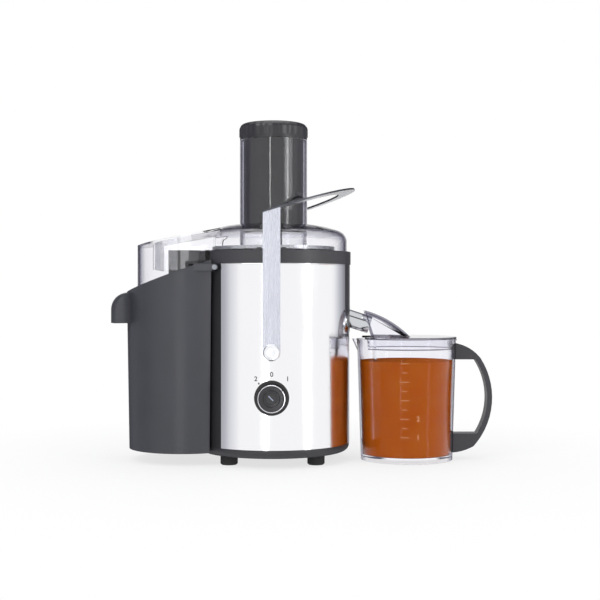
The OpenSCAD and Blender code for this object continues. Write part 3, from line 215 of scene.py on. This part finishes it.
def satin_steel(name, colour, roughness, along, relief_mm=0.01):
    """Metal brushed or drawn along one axis: fine lines that stretch the gloss across them.

    Real lines are about 0.1 mm apart; they are drawn coarser, so that they show.
    """
    material, tree, shader = start_material(name, Metallic=1.0, Roughness=roughness,
                                            Base_Color=linear(colour))
    place = add_node(tree, "ShaderNodeTexCoord")
    stretch = [1.0, 1.0, 1.0]
    stretch[along] = 0.03
    lay = add_node(tree, "ShaderNodeMapping", values={"Scale": stretch},
                   links={"Vector": (place, "Object")})
    lines = add_node(tree, "ShaderNodeTexNoise", values={"Scale": 1 / (0.9 * MM), "Detail": 5.0},
                     links={"Vector": (lay, "Vector")})
    gloss = add_node(tree, "ShaderNodeMapRange",
                     values={"From Min": 0.3, "From Max": 0.7,
                             "To Min": roughness - 0.07, "To Max": roughness + 0.07},
                     links={"Value": (lines, "Fac")})
    tree.links.new(gloss.outputs["Result"], shader.inputs["Roughness"])
    relief = add_node(tree, "ShaderNodeBump",
                      values={"Strength": 0.25, "Distance": relief_mm * MM},
                      links={"Height": (lines, "Fac")})
    tree.links.new(relief.outputs["Normal"], shader.inputs["Normal"])
    return material


# ---------------------------------------------------------------------------
# Motor. A universal motor in the housing: cast end brackets, a laminated field
# with enamelled copper coils, the armature, and carbon brushes on a commutator.

# Turned steel is bright, with fine tool lines.
turned_steel = satin_steel("turned_steel", "#b9bbbe", 0.28, 2)
dress(turned_steel, "motor_shaft", "lower_bearing", "upper_bearing", "switch_spindle", "tie_bolts",
      "motor_screws", "base_screws")
# Sand-cast aluminium is a dull light grey with a coarse skin.
cast_alloy = moulded_skin("sand_cast_aluminium", "#8f9296", "#a3a6aa", 0.5, grain_mm=1.8)
dress(cast_alloy, "lower_bracket", "upper_bracket")
# Stacked laminations are a dull steel grey with the stack's lines across.
core_steel = satin_steel("laminated_electrical_steel", "#6c7077", 0.45, 0)
dress(core_steel, "field_stack", "armature_core")
# Enamelled wire is a warm copper brown with the winding's lines.
copper = satin_steel("enamelled_copper_wire", "#a4562a", 0.32, 2)
dress(copper, "field_coils", "armature_windings", "commutator")
# Pressed carbon is matt and nearly black.
carbon = moulded_skin("pressed_carbon", "#232324", "#2e2e30", 0.6)
dress(carbon, "carbon_brushes")
# Moulded nylon is dark, with a soft sheen.
fan_nylon = moulded_skin("moulded_nylon_dark", "#26272b", "#303136", 0.45)
dress(fan_nylon, "cooling_fan", "drive_coupling", "basket_nut")
# Urea resin is an opaque cream.
cream_resin = moulded_skin("moulded_urea_resin", "#d9d3c2", "#e0dbcd", 0.4)
dress(cream_resin, "brush_holders", "speed_switch", "terminal_block", "safety_plunger",
      "pivot_bushes")
# Dipped epoxy is a glossy mustard brown.
film_case = moulded_skin("capacitor_epoxy", "#8f7426", "#9b8031", 0.4)
dress(film_case, "suppressor_capacitor")
# Silicone-sheathed wire is a satin brick red.
wire_skin = moulded_skin("extruded_silicone_wire", "#7c2f27", "#86372e", 0.5)
dress(wire_skin, "wiring_loom")

# ---------------------------------------------------------------------------
# Filter bowl, basket and gasket. The bowl is charcoal ABS with a satin skin;
# the basket is punched and welded stainless steel that rides on the motor's
# coupling; the gasket is soft grey silicone.

bowl_abs = moulded_skin("moulded_charcoal_ABS_bowl", "#302f34", "#39383d", 0.4)
round_edges("filter_bowl", "machine", bowl_abs, 0.5)
basket_steel = satin_steel("punched_stainless", "#c3c5c8", 0.3, 2)
dress(basket_steel, "filter_basket", "grater_disc")
silicone = moulded_skin("moulded_grey_silicone", "#9fa1a6", "#a9abb0", 0.5)
dress(silicone, "bowl_gasket")

# ---------------------------------------------------------------------------
# Clear cover. One moulding in clear styrene-acrylonitrile: crown, feed chute
# and the hood that leads the pulp over into the bin.

def clear_plastic(name, face_colour, edge_tint_and_painted_reflection, rim_painted_reflection, gloss):
    """Clear moulded plastic: its face colour head on, deepening where a wall is seen along it.

    The edge and rim colours are partly the deeper tint of a wall seen along it, partly
    painted reflection of a dark room. The gloss is the share of its reflection that it keeps.
    A real wall keeps it all; under this white room that would pale its dark edges and the
    juice behind it.
    """
    material, tree, shader = start_material(name, Roughness=0.015, IOR=1.46,
                                            Transmission_Weight=1.0,
                                            Specular_Tint=(gloss, gloss, gloss, 1.0))
    slant = add_node(tree, "ShaderNodeLayerWeight", values={"Blend": 0.5})
    # The edge and rim stops darken the colour as a wall turns away: partly its deeper tint, partly
    # painted reflection of a dark room.
    depth = add_node(tree, "ShaderNodeValToRGB", links={"Fac": (slant, "Facing")})
    stops = depth.color_ramp.elements
    stops[0].position, stops[0].color = 0.50, linear(face_colour)
    stops[1].position, stops[1].color = 0.86, linear(rim_painted_reflection)
    stops.new(0.73).color = linear(edge_tint_and_painted_reflection)
    tree.links.new(depth.outputs["Color"], shader.inputs["Base Color"])
    place = add_node(tree, "ShaderNodeTexCoord")
    flow = add_node(tree, "ShaderNodeTexNoise", values={"Scale": 1 / (28 * MM), "Detail": 1.5},
                    links={"Vector": (place, "Object")})
    ripple = add_node(tree, "ShaderNodeBump", values={"Strength": 0.12, "Distance": 0.25 * MM},
                      links={"Height": (flow, "Fac")})
    tree.links.new(ripple.outputs["Normal"], shader.inputs["Normal"])
    return material


clear_san = clear_plastic("clear_SAN_cover", "#fafafc", "#a5a4b4", "#3d3a46", 0.6)

# The hood's skin is sunk into the crown's where they meet, and the chute is made
# a touch wider, so that all three overlap and can be fused.
seam_gap = 0.15 * MM
seam_sink_mm = 0.4
crown = blank("juicer_cover")
hood = blank("pulp_hood")
crown_skin = BVHTree.FromBMesh(crown)
for vert in hood.verts:
    _, slope, _, gap = crown_skin.find_nearest(vert.co)
    if gap < seam_gap:
        away = Vector((vert.co.x - body_x, vert.co.y, 0)).dot(slope) > 0
        vert.co += slope * (-seam_sink_mm if away else seam_sink_mm) * MM
chute = blank("feed_chute")
bmesh.ops.scale(chute, vec=(1.004, 1.004, 1.0), space=Matrix.Translation((-body_x, 0, 0)),
                verts=chute.verts)


def fused(first, *others):
    """One closed bmesh out of several that overlap."""
    parts = []
    for bm in (first, *others):
        mesh = bpy.data.meshes.new("blank")
        bm.to_mesh(mesh)
        bm.free()
        parts.append(bpy.data.objects.new("blank", mesh))
        bpy.context.scene.collection.objects.link(parts[-1])
    for part in parts[1:]:
        join = parts[0].modifiers.new("fuse", "BOOLEAN")
        join.operation, join.solver, join.object = "UNION", "EXACT", part
    whole = bmesh.new()
    whole.from_object(parts[0], bpy.context.evaluated_depsgraph_get())
    for part in parts:
        mesh = part.data
        bpy.data.objects.remove(part)
        bpy.data.meshes.remove(mesh)
    bmesh.ops.remove_doubles(whole, verts=whole.verts, dist=0.02 * MM)
    bmesh.ops.dissolve_limit(whole, angle_limit=math.radians(1.0), verts=whole.verts,
                             edges=whole.edges)
    return whole


cover = fused(crown, hood, chute)

# The hood's roof runs over into its walls in one soft bend, outside and inside.
# The hood's end is a half round about hood_x; roof_wall is its wall square to the roof.
hood_low, hood_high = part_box("pulp_hood")
hood_r = hood_high[1]
hood_x = hood_low[0] + hood_r
wall = 2.4 * MM
roof_wall = 1.017 * wall
roof = max((f for f in cover.faces if f.calc_center_median().x < hood_low[0] + 60 * MM),
           key=lambda f: f.normal.z * f.calc_area())
roof_spot, roof_up = roof.calc_center_median(), roof.normal.copy()
for flank_r, depth, bend_mm in ((hood_r, 0, 5.0), (hood_r - wall, roof_wall, 2.6)):
    bend = []
    for edge in cover.edges:
        flank = [abs(v.co.y) if v.co.x > hood_x else math.hypot(v.co.x - hood_x, v.co.y)
                 for v in edge.verts]
        under = [(v.co - roof_spot).dot(roof_up) + depth for v in edge.verts]
        if (max(abs(f - flank_r) for f in flank) < seam_gap
                and max(abs(u) for u in under) < seam_gap):
            bend.append(edge)
    bmesh.ops.bevel(cover, geom=bend, offset=bend_mm * MM, offset_type="OFFSET", segments=5,
                    profile=0.5, affect="EDGES", clamp_overlap=True, material=-1)
corners = [e for e in cover.edges if e.is_manifold and e.calc_face_angle() > math.radians(35)]
bmesh.ops.bevel(cover, geom=corners, offset=0.5 * MM, offset_type="OFFSET", segments=2,
                profile=0.5, affect="EDGES", clamp_overlap=True, material=-1)
cover_piece = settle(cover, "clear_cover_moulding", "machine", clear_san)
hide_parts("juicer_cover", "pulp_hood", "feed_chute")

# ---------------------------------------------------------------------------
# Food pusher. A dark ABS tube out of a polished mould, closed at its lower end,
# with a satin charcoal cap pressed on top.

smoke_abs = moulded_skin("glossy_dark_ABS", "#0f0f13", "#141419", 0.08, grain_mm=30,
                         relief_mm=0.001)
dress(smoke_abs, "pusher_tube")
cap_abs = moulded_skin("moulded_charcoal_ABS_cap", "#202024", "#28282d", 0.36)

# The cap's side is fluted for grip: shallow hollows that run out into the rim and the top.
flutes = 24
flute_depth = 0.35 * MM
cap_low, cap_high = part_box("pusher_cap")
cap = blank("pusher_cap")
for vert in cap.verts:
    reach = math.hypot(vert.co.x - body_x, vert.co.y)
    if reach > cap_high[1] - 3 * MM and vert.co.z > cap_low[2] + 4 * MM:
        turn = math.atan2(vert.co.y, vert.co.x - body_x)
        share = 1 - flute_depth * (1 - math.cos(flutes * turn)) / reach
        vert.co.x, vert.co.y = body_x + (vert.co.x - body_x) * share, vert.co.y * share
settle(cap, "pusher_cap_moulding", "pusher", cap_abs, replaces="pusher_cap")

# ---------------------------------------------------------------------------
# Locking arm. A strap each side and a loop over the cover, cut from one
# stainless sheet and folded, on shouldered rivets. Brushing runs up the straps;
# the sheared edges are duller, and drawn dark grey, the dark partly painted shade.

arm_steel = satin_steel("brushed_stainless_arm", "#f2f3f6", 0.36, 2)
dress(arm_steel, "arm_rivets")
arm = round_edges("locking_arm", "arm", arm_steel, 0.8, segments=3)
# The sheared edges' dark grey is partly their duller finish and partly painted shade.
sheared_edge_painted_shade = satin_steel("sheared_steel_edge_painted_shade", "#56575d", 0.42, 2)
arm.data.materials.append(sheared_edge_painted_shade)
# The straps' broad faces get a greyer steel: a painted reflection, as one flat tone.
strap_painted_reflection_steel = satin_steel("brushed_stainless_strap_painted_reflection", "#c6c8d2", 0.26, 2, relief_mm=0.001)
arm.data.materials.append(strap_painted_reflection_steel)

# Faces across the sheet are its sheared edges, their dark grey partly painted shade; the
# straps' broad faces are brushed finer, and drawn greyer than the rest of the sheet: a
# painted reflection, as a flat tone.
loop_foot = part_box("locking_arm")[1][2] - 34 * MM
loop_tilt = math.radians(17)
loop_face = Vector((-math.sin(loop_tilt), 0, math.cos(loop_tilt)))
strap_face = Vector((0, 1, 0))
for face in arm.data.polygons:
    sheet = loop_face if face.center.z > loop_foot else strap_face
    if abs(face.normal.dot(sheet)) < 0.35:
        face.material_index = 1
    elif sheet is strap_face and abs(face.normal.y) > 0.99:
        face.material_index = 2

# ---------------------------------------------------------------------------
# Control knob. A satin moulded grip with a bright plated ring and an inlaid
# pointer, in a gloss black bezel that is pressed into the steel.

gloss_abs = moulded_skin("gloss_black_ABS", "#0b0b0d", "#111113", 0.14, grain_mm=6,
                         relief_mm=0.01)
round_edges("knob_bezel", "machine", gloss_abs, 0.9, segments=4)

knob_low, knob_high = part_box("speed_knob")
knob_z = (knob_low[2] + knob_high[2]) / 2
knob_front = knob_low[1]


def turned(outline, centre, axis, steps=96):
    """A full turn of an outline of (radius, distance along the axis) pairs in millimetres."""
    bm = bmesh.new()
    verts = [bm.verts.new((r * MM, 0.0, along * MM)) for r, along in outline]
    edges = [bm.edges.new(pair) for pair in zip(verts, verts[1:])]
    bmesh.ops.spin(bm, geom=verts + edges, cent=(0, 0, 0), axis=(0, 0, 1), angle=math.tau,
                   steps=steps, use_merge=True)
    bmesh.ops.remove_doubles(bm, verts=bm.verts, dist=0.005 * MM)
    bmesh.ops.recalc_face_normals(bm, faces=bm.faces)
    turn = Vector((0, 0, 1)).rotation_difference(Vector(axis)).to_matrix().to_4x4()
    bmesh.ops.transform(bm, matrix=Matrix.Translation(centre) @ turn, verts=bm.verts)
    return bm


front = (body_x, knob_front, knob_z)
knob_abs = moulded_skin("moulded_dark_ABS_knob", "#1e1e22", "#26262a", 0.3, grain_mm=5,
                        relief_mm=0.01)
knob_outline = [(0, 2.0), (6.3, 2.0), (6.6, 1.5), (8.8, 1.1), (9.4, 1.6), (10.0, 1.1),
                (14.0, 1.0), (14.3, 1.5), (15.1, 1.5), (15.4, 11.2), (14.9, 11.6), (0, 11.6)]
settle(turned(knob_outline, front, (0, 1, 0)), "knob_grip", "knob", knob_abs,
       replaces="speed_knob")
trim_chrome = start_material("bright_trim_plating", Metallic=1.0, Roughness=0.12,
                             Base_Color=linear("#d9d7dd"))[0]
ring_outline = [(14.25, 1.6), (14.25, 0.7), (14.5, 0.2), (15.1, 0.15), (15.5, 0.6), (15.5, 1.6),
                (14.25, 1.6)]
settle(turned(ring_outline, front, (0, 1, 0)), "knob_trim_ring", "knob",
       trim_chrome)

# A raised pointer line; its pale blue-grey is a painted highlight.
pointer_line_painted_highlight = moulded_skin("pointer_line_painted_highlight", "#8f97ad", "#a2a9bc", 0.35)
bm = bmesh.new()
bmesh.ops.create_cube(bm, size=1.0)
bmesh.ops.scale(bm, vec=(1.3 * MM, 0.5 * MM, 7.4 * MM), verts=bm.verts)
bmesh.ops.bevel(bm, geom=bm.edges[:], offset=0.18 * MM, offset_type="OFFSET", segments=2,
                profile=0.5, affect="EDGES", material=-1)
bmesh.ops.rotate(bm, cent=(0, 0, 0), matrix=Matrix.Rotation(math.radians(-45), 3, "Y"),
                 verts=bm.verts)
bmesh.ops.translate(bm, vec=(body_x - 0.6 * MM, knob_front + 1.9 * MM, knob_z + 0.6 * MM),
                    verts=bm.verts)
settle(bm, "knob_pointer", "knob", pointer_line_painted_highlight)

# Plain numerals and a dot, screen printed in matt dark ink on the steel round the knob.
steel_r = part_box("steel_wrap")[1][1]
print_ink = moulded_skin("dark_print_ink", "#2c2c30", "#37373b", 0.5)


def printed(numeral, name, height_mm, z_mm, axis_x, reach, turn, body, ink):
    """A generic numeral on the wall of a round body, turned about its axis (in radians)."""
    curve = bpy.data.curves.new(name, "FONT")
    curve.body = numeral
    curve.size = height_mm / 0.7 * MM
    curve.extrude = 0.015 * MM
    curve.offset = 0.14 * MM
    curve.align_x = curve.align_y = "CENTER"
    stencil = bpy.data.objects.new("stencil", curve)
    mesh = bpy.data.meshes.new_from_object(stencil)
    upright = Matrix.Rotation(turn, 4, "Z") @ Matrix.Rotation(math.radians(90), 4, "X")
    spot = (axis_x + reach * math.sin(turn), -reach * math.cos(turn), z_mm * MM)
    mesh.transform(Matrix.Translation(spot) @ upright)
    bpy.data.objects.remove(stencil)
    bpy.data.curves.remove(curve)
    bm = bmesh.new()
    bm.from_mesh(mesh)
    bpy.data.meshes.remove(mesh)
    bmesh.ops.remove_doubles(bm, verts=bm.verts, dist=0.001 * MM)
    settle(bm, name, body, ink)


dial_reach = steel_r + 0.06 * MM
for numeral, name, turn, rise_mm in (("2", "dial_numeral_two", -0.197, 21),
                                     ("0", "dial_numeral_nought", 0.0, 26),
                                     ("1", "dial_numeral_one", 0.197, 21)):
    printed(numeral, name, 5.2, knob_z / MM + rise_mm, body_x, dial_reach, turn, "machine",
            print_ink)
dot_left = 14.2 * MM
dot_spot = (body_x - dot_left, -math.sqrt(steel_r ** 2 - dot_left ** 2), knob_z + 16 * MM)
settle(turned([(0, -0.05), (1.15, -0.05), (1.15, 0.3), (0, 0.3)], dot_spot, (0, 1, 0), 24),
       "dial_dot", "machine", print_ink)

# ---------------------------------------------------------------------------
# Pulp bin and its pegs. The bin is moulded in charcoal ABS with an even satin
# skin, and hangs on two light grey pegs moulded beside the housing.

bin_abs = moulded_skin("moulded_charcoal_ABS_bin", "#33343a", "#3b3c43", 0.4)
round_edges("pulp_bin", "bin", bin_abs, 0.8)
peg_abs = moulded_skin("moulded_light_grey_ABS", "#8b8e95", "#969aa0", 0.4)
dress(peg_abs, "bin_pegs")

# ---------------------------------------------------------------------------
# Spout, jug and handle. The spout is plated bright as a mirror; the jug and its
# lid are clear styrene-acrylonitrile; the charcoal ABS handle is welded on.

spout_chrome = start_material("chromed_ABS", Metallic=1.0, Roughness=0.06,
                              Base_Color=linear("#cfd1d4"))[0]
dress(spout_chrome, "juice_spout")
handle_abs = moulded_skin("moulded_charcoal_ABS_handle", "#2e2e33", "#37373c", 0.38)
round_edges("jug_handle", "jug", handle_abs, 2.2, segments=4)
jug_san = clear_plastic("clear_SAN_jug", "#f8f8fb", "#a19fb0", "#45414f", 0.15)
round_edges("juice_jug", "jug", jug_san, 0.6)
dress(jug_san, "froth_separator")

# The lid's plate and skirt, and a border round its hood's cheeks, get a darker clear
# plastic: painted shade where those edges look dark, and partly the deeper tint of plate
# and skirt seen through their full width.
lid_low, lid_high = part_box("jug_lid")
lid = blank("jug_lid")
skirt_foot = lid_low[2] + 1.4 * MM
bmesh.ops.bisect_plane(lid, geom=lid.faces[:] + lid.edges[:] + lid.verts[:], dist=0.001 * MM,
                       plane_co=(0, 0, skirt_foot), plane_no=(0, 0, 1))
cheeks = [f for f in lid.faces if abs(f.normal.y) > 0.99 and f.calc_area() > 500 * MM ** 2]
borders = bmesh.ops.inset_region(lid, faces=cheeks, thickness=2.8 * MM, depth=0)["faces"]
plate = max((f for f in lid.faces if f.normal.z > 0.99), key=lambda f: f.calc_area())
plate_z = plate.calc_center_median().z
for face in lid.faces:
    spot, side_on = face.calc_center_median(), abs(face.normal.z) < 0.3
    plate_edge = side_on and plate_z - 2.3 * MM < spot.z < plate_z
    if face in borders or plate_edge or spot.z < skirt_foot:
        face.material_index = 1
lid_piece = round_edges("jug_lid", "jug_lid", jug_san, 0.5, bm=lid)
lid_piece.data.materials.append(
    clear_plastic("clear_SAN_full_depth_and_painted_shade", "#94929f", "#6b6877", "#35323e", 0.5))


def jug_wall(z_mm, proud_mm=0.0):
    """The radius of the jug's outer wall at a height: the wall leans out by 4.4 mm over 143."""
    return (54.6 + proud_mm + 4.4 * z_mm / 143) * MM


# Measuring marks, moulded as low frosted ridges on the front of the jug's wall. They are
# drawn opaque, in the pale orange that they take from the juice behind them.
# Every other mark is a long one.
jug_x = lid_high[0] - lid_high[1]
mark_foot_mm, mark_step_mm = 31.1, 10.66
mark_san = moulded_skin("frosted_measuring_marks", "#dd9c5c", "#e2a468", 0.5)
for step in range(9):
    mark_mm = mark_foot_mm + mark_step_mm * step
    wall_r = jug_wall(mark_mm)
    half_turn = (5.1 if step % 2 == 0 else 3.1) * MM / wall_r
    bm = bmesh.new()
    ridge = bmesh.ops.create_grid(bm, x_segments=1, y_segments=1, size=0.5)["verts"]
    bmesh.ops.rotate(bm, cent=(0, 0, 0), matrix=Matrix.Rotation(math.radians(90), 3, "X"),
                     verts=ridge)
    bmesh.ops.scale(bm, vec=(0.4 * MM, 1.0, 0.7 * MM), verts=ridge)
    bmesh.ops.translate(bm, vec=(wall_r + 0.1 * MM, 0, mark_mm * MM), verts=ridge)
    bmesh.ops.rotate(bm, cent=(0, 0, 0), verts=ridge,
                     matrix=Matrix.Rotation(math.radians(-97) - half_turn, 3, "Z"))
    bmesh.ops.spin(bm, geom=bm.faces[:] + bm.edges[:] + bm.verts[:], cent=(0, 0, 0),
                   axis=(0, 0, 1), angle=2 * half_turn, steps=8)
    bmesh.ops.recalc_face_normals(bm, faces=bm.faces)
    bmesh.ops.translate(bm, vec=(jug_x, 0, 0), verts=bm.verts)
    settle(bm, "measuring_mark_%d" % (step + 1), "jug", mark_san)
for numeral, name, z_mm in (("1", "measure_numeral_one", mark_foot_mm),
                            ("2", "measure_numeral_two", 52.4)):
    printed(numeral, name, 6.0, z_mm, jug_x, jug_wall(z_mm, 0.5), 0.15, "jug",
            mark_san)

# ---------------------------------------------------------------------------
# Juice. The jug stands filled to just under its lid with cloudy pressed juice: an even
# orange with fine pulp in uneven clouds, drawn without gloss where it wets the wall and
# on its top too. The top has a low rim where it climbs the wall.

foot_mm, level_mm = 7.0, 117.5
juice, tree, shader = start_material("pressed_fruit_juice", Roughness=0.3, IOR=1.33,
                                     Specular_IOR_Level=0.0)
place = add_node(tree, "ShaderNodeTexCoord")
pulp = add_node(tree, "ShaderNodeTexNoise", values={"Scale": 1 / (1.8 * MM), "Detail": 3.0},
                links={"Vector": (place, "Object")})
clouds = add_node(tree, "ShaderNodeTexNoise", values={"Scale": 1 / (22 * MM), "Detail": 2.0},
                  links={"Vector": (place, "Object")})
mottle = add_node(tree, "ShaderNodeMath", settings={"operation": "MULTIPLY"},
                  links={0: (pulp, "Fac"), 1: (clouds, "Fac")})
tint = add_node(tree, "ShaderNodeMapRange",
                values={"From Min": 0.1, "From Max": 0.45, "To Min": 0.0, "To Max": 0.3},
                links={"Value": (mottle, "Value")})
mixed_juice = add_node(tree, "ShaderNodeMix", settings={"data_type": "RGBA"},
                       values={6: linear("#ca5c0c"), 7: linear("#d88a34")},
                       links={0: (tint, "Result")})
tree.links.new(mixed_juice.outputs[2], shader.inputs["Base Color"])
juice_outline = [(0.0, foot_mm), (50.6, foot_mm), (51.9, foot_mm + 1.4), (55.35, level_mm - 0.9),
                 (55.0, level_mm - 0.2), (54.2, level_mm - 0.35), (0.0, level_mm - 0.4)]
settle(turned(juice_outline, (jug_x, 0, 0), (0, 0, 1)), "juice_fill", "jug",
       juice)

# ---------------------------------------------------------------------------
# Studio: pale floor, white surroundings, soft lamps and the camera.

scene = bpy.context.scene
scene.view_settings.view_transform = "Standard"

world = bpy.data.worlds.new("studio")
scene.world = world
world.use_nodes = True
tree = world.node_tree
tree.nodes.clear()
rays = add_node(tree, "ShaderNodeLightPath")
seen = add_node(tree, "ShaderNodeMath", settings={"operation": "MAXIMUM"},
                links={0: (rays, "Is Camera Ray"), 1: (rays, "Is Glossy Ray")})
seen = add_node(tree, "ShaderNodeMath", settings={"operation": "MAXIMUM"},
                links={0: (seen, "Value"), 1: (rays, "Is Transmission Ray")})
dim = add_node(tree, "ShaderNodeBackground",
               values={"Color": linear("#dfe1e4"), "Strength": 0.75})
white = add_node(tree, "ShaderNodeBackground",
                 values={"Color": (1.0, 1.0, 1.0, 1.0), "Strength": 1.0})
sky = add_node(tree, "ShaderNodeMixShader",
               links={0: (seen, "Value"), 1: (dim, "Background"), 2: (white, "Background")})


def studio_walls(rays_seen, base, *sweeps):
    """The room as one kind of ray sees it: shades along the axes of the ray's direction."""
    around = add_node(tree, "ShaderNodeTexCoord")
    bearing = add_node(tree, "ShaderNodeSeparateXYZ", links={"Vector": (around, "Generated")})
    colour = None
    for axis, shades in sweeps:
        sweep = add_node(tree, "ShaderNodeMapRange", values={"From Min": -1.0, "From Max": 1.0},
                         links={"Value": (bearing, axis)})
        shade = add_node(tree, "ShaderNodeValToRGB", links={"Fac": (sweep, "Result")})
        stops = shade.color_ramp.elements
        stops[0].position, stops[0].color = shades[0][0], linear(shades[0][1])
        stops[1].position, stops[1].color = shades[-1][0], linear(shades[-1][1])
        for position, tone in shades[1:-1]:
            stops.new(position).color = linear(tone)
        if colour:
            both = add_node(tree, "ShaderNodeMix",
                            settings={"data_type": "RGBA", "blend_type": "MULTIPLY"},
                            values={0: 1.0}, links={6: colour, 7: (shade, "Color")})
            colour = (both, 2)
        else:
            colour = (shade, "Color")
    room = add_node(tree, "ShaderNodeBackground", values={"Strength": 1.0},
                    links={"Color": colour})
    return add_node(tree, "ShaderNodeMixShader",
                    links={0: (rays, rays_seen), 1: base, 2: (room, "Background")})


# Metal and gloss see a white front, grey at the far left, a room that darkens towards
# the back, a dark band high up, and the white backdrop straight behind; clear plastic
# sees the backdrop through its walls and the dark room where an edge bends the light.
# The shades are set for the view from the front.
sky = studio_walls("Is Glossy Ray", (sky, "Shader"),
                   ("Y", ((0.0, "#ffffff"), (0.55, "#ffffff"), (0.61, "#f9f9fa"),
                          (0.72, "#c8cad0"), (0.81, "#a2a2aa"), (0.91, "#47464e"),
                          (0.955, "#3e3d46"), (0.985, "#ffffff"))),
                   ("X", ((0.0, "#9a9ba2"), (0.043, "#dcdde2"), (0.12, "#ffffff"))),
                   ("Z", ((0.0, "#ffffff"), (0.70, "#ffffff"), (0.74, "#3a3a3f"),
                          (0.80, "#3a3a3f"), (0.84, "#ffffff"))))
sky = studio_walls("Is Transmission Ray", (sky, "Shader"),
                   ("Y", ((0.0, "#ffffff"), (0.48, "#eaeaee"), (0.62, "#8a8894"),
                          (0.94, "#5a5864"), (0.965, "#ffffff"))))
add_node(tree, "ShaderNodeOutputWorld", links={"Surface": (sky, "Shader")})

# The floor keeps the shadow near the object and fades into the white round it.
bm = bmesh.new()
bmesh.ops.create_grid(bm, x_segments=1, y_segments=1, size=4.0)
mesh = bpy.data.meshes.new("floor")
bm.to_mesh(mesh)
bm.free()
floor = bpy.data.objects.new("floor", mesh)
scene.collection.objects.link(floor)
floor_paint, tree, shader = start_material("pale_floor", Base_Color=linear("#f4f4f4"),
                                           Roughness=0.6)
floor_rays = add_node(tree, "ShaderNodeLightPath")
glow = add_node(tree, "ShaderNodeEmission",
                values={"Color": (1.0, 1.0, 1.0, 1.0), "Strength": 1.0})
seen = add_node(tree, "ShaderNodeMath", settings={"operation": "MAXIMUM"},
                links={0: (floor_rays, "Is Camera Ray"), 1: (floor_rays, "Is Transmission Ray")})
place = add_node(tree, "ShaderNodeTexCoord")
spread = add_node(tree, "ShaderNodeVectorMath", settings={"operation": "LENGTH"},
                  links={"Vector": (place, "Object")})
fade = add_node(tree, "ShaderNodeMapRange", settings={"interpolation_type": "SMOOTHSTEP"},
                values={"From Min": 0.12, "From Max": 0.55, "To Min": 0.72, "To Max": 1.0},
                links={"Value": (spread, "Value")})
shown = add_node(tree, "ShaderNodeMath", settings={"operation": "MULTIPLY"},
                 links={0: (seen, "Value"), 1: (fade, "Result")})
blend = add_node(tree, "ShaderNodeMixShader",
                 links={0: (shown, "Value"), 1: (shader, "BSDF"), 2: (glow, "Emission")})
tree.links.new(blend.outputs["Shader"], tree.nodes["Material Output"].inputs["Surface"])
mesh.materials.append(floor_paint)
floor.visible_glossy = False


def soft_lamp(name, place, aim, size, power):
    """A soft box of one width and height, turned to its aim."""
    data = bpy.data.lights.new(name, "AREA")
    data.shape = "RECTANGLE"
    data.size, data.size_y = size
    data.energy = power
    lamp = bpy.data.objects.new(name, data)
    lamp.visible_camera = False
    scene.collection.objects.link(lamp)
    lamp.location = place
    lamp.rotation_euler = (Vector(aim) - Vector(place)).to_track_quat("-Z", "Y").to_euler()


middle = (0, 0, 0.2)
soft_lamp("key_box", (-0.9, -1.3, 1.5), middle, (1.0, 1.0), 12)
soft_lamp("fill_box", (1.4, -1.0, 0.9), middle, (1.0, 1.0), 5)
soft_lamp("top_box", (0.0, 0.2, 2.0), middle, (1.4, 1.4), 10)
soft_lamp("strip_left", (-0.30, -1.45, 0.22), (-0.03, 0, 0.22), (0.10, 1.1), 1.6)
soft_lamp("strip_right", (1.15, -0.95, 0.25), (0, 0, 0.22), (0.14, 1.1), 2.0)

# A level camera with a long lens, straight in front.
camera_data = bpy.data.cameras.new("camera")
camera_data.sensor_width = 36
camera_data.lens = 69.8
camera_data.shift_y = -0.0083
camera = bpy.data.objects.new("camera", camera_data)
scene.collection.objects.link(camera)
camera.location = (-0.0017, -1.390, 0.195)
camera.rotation_euler = (math.radians(90), 0, 0)
scene.camera = camera
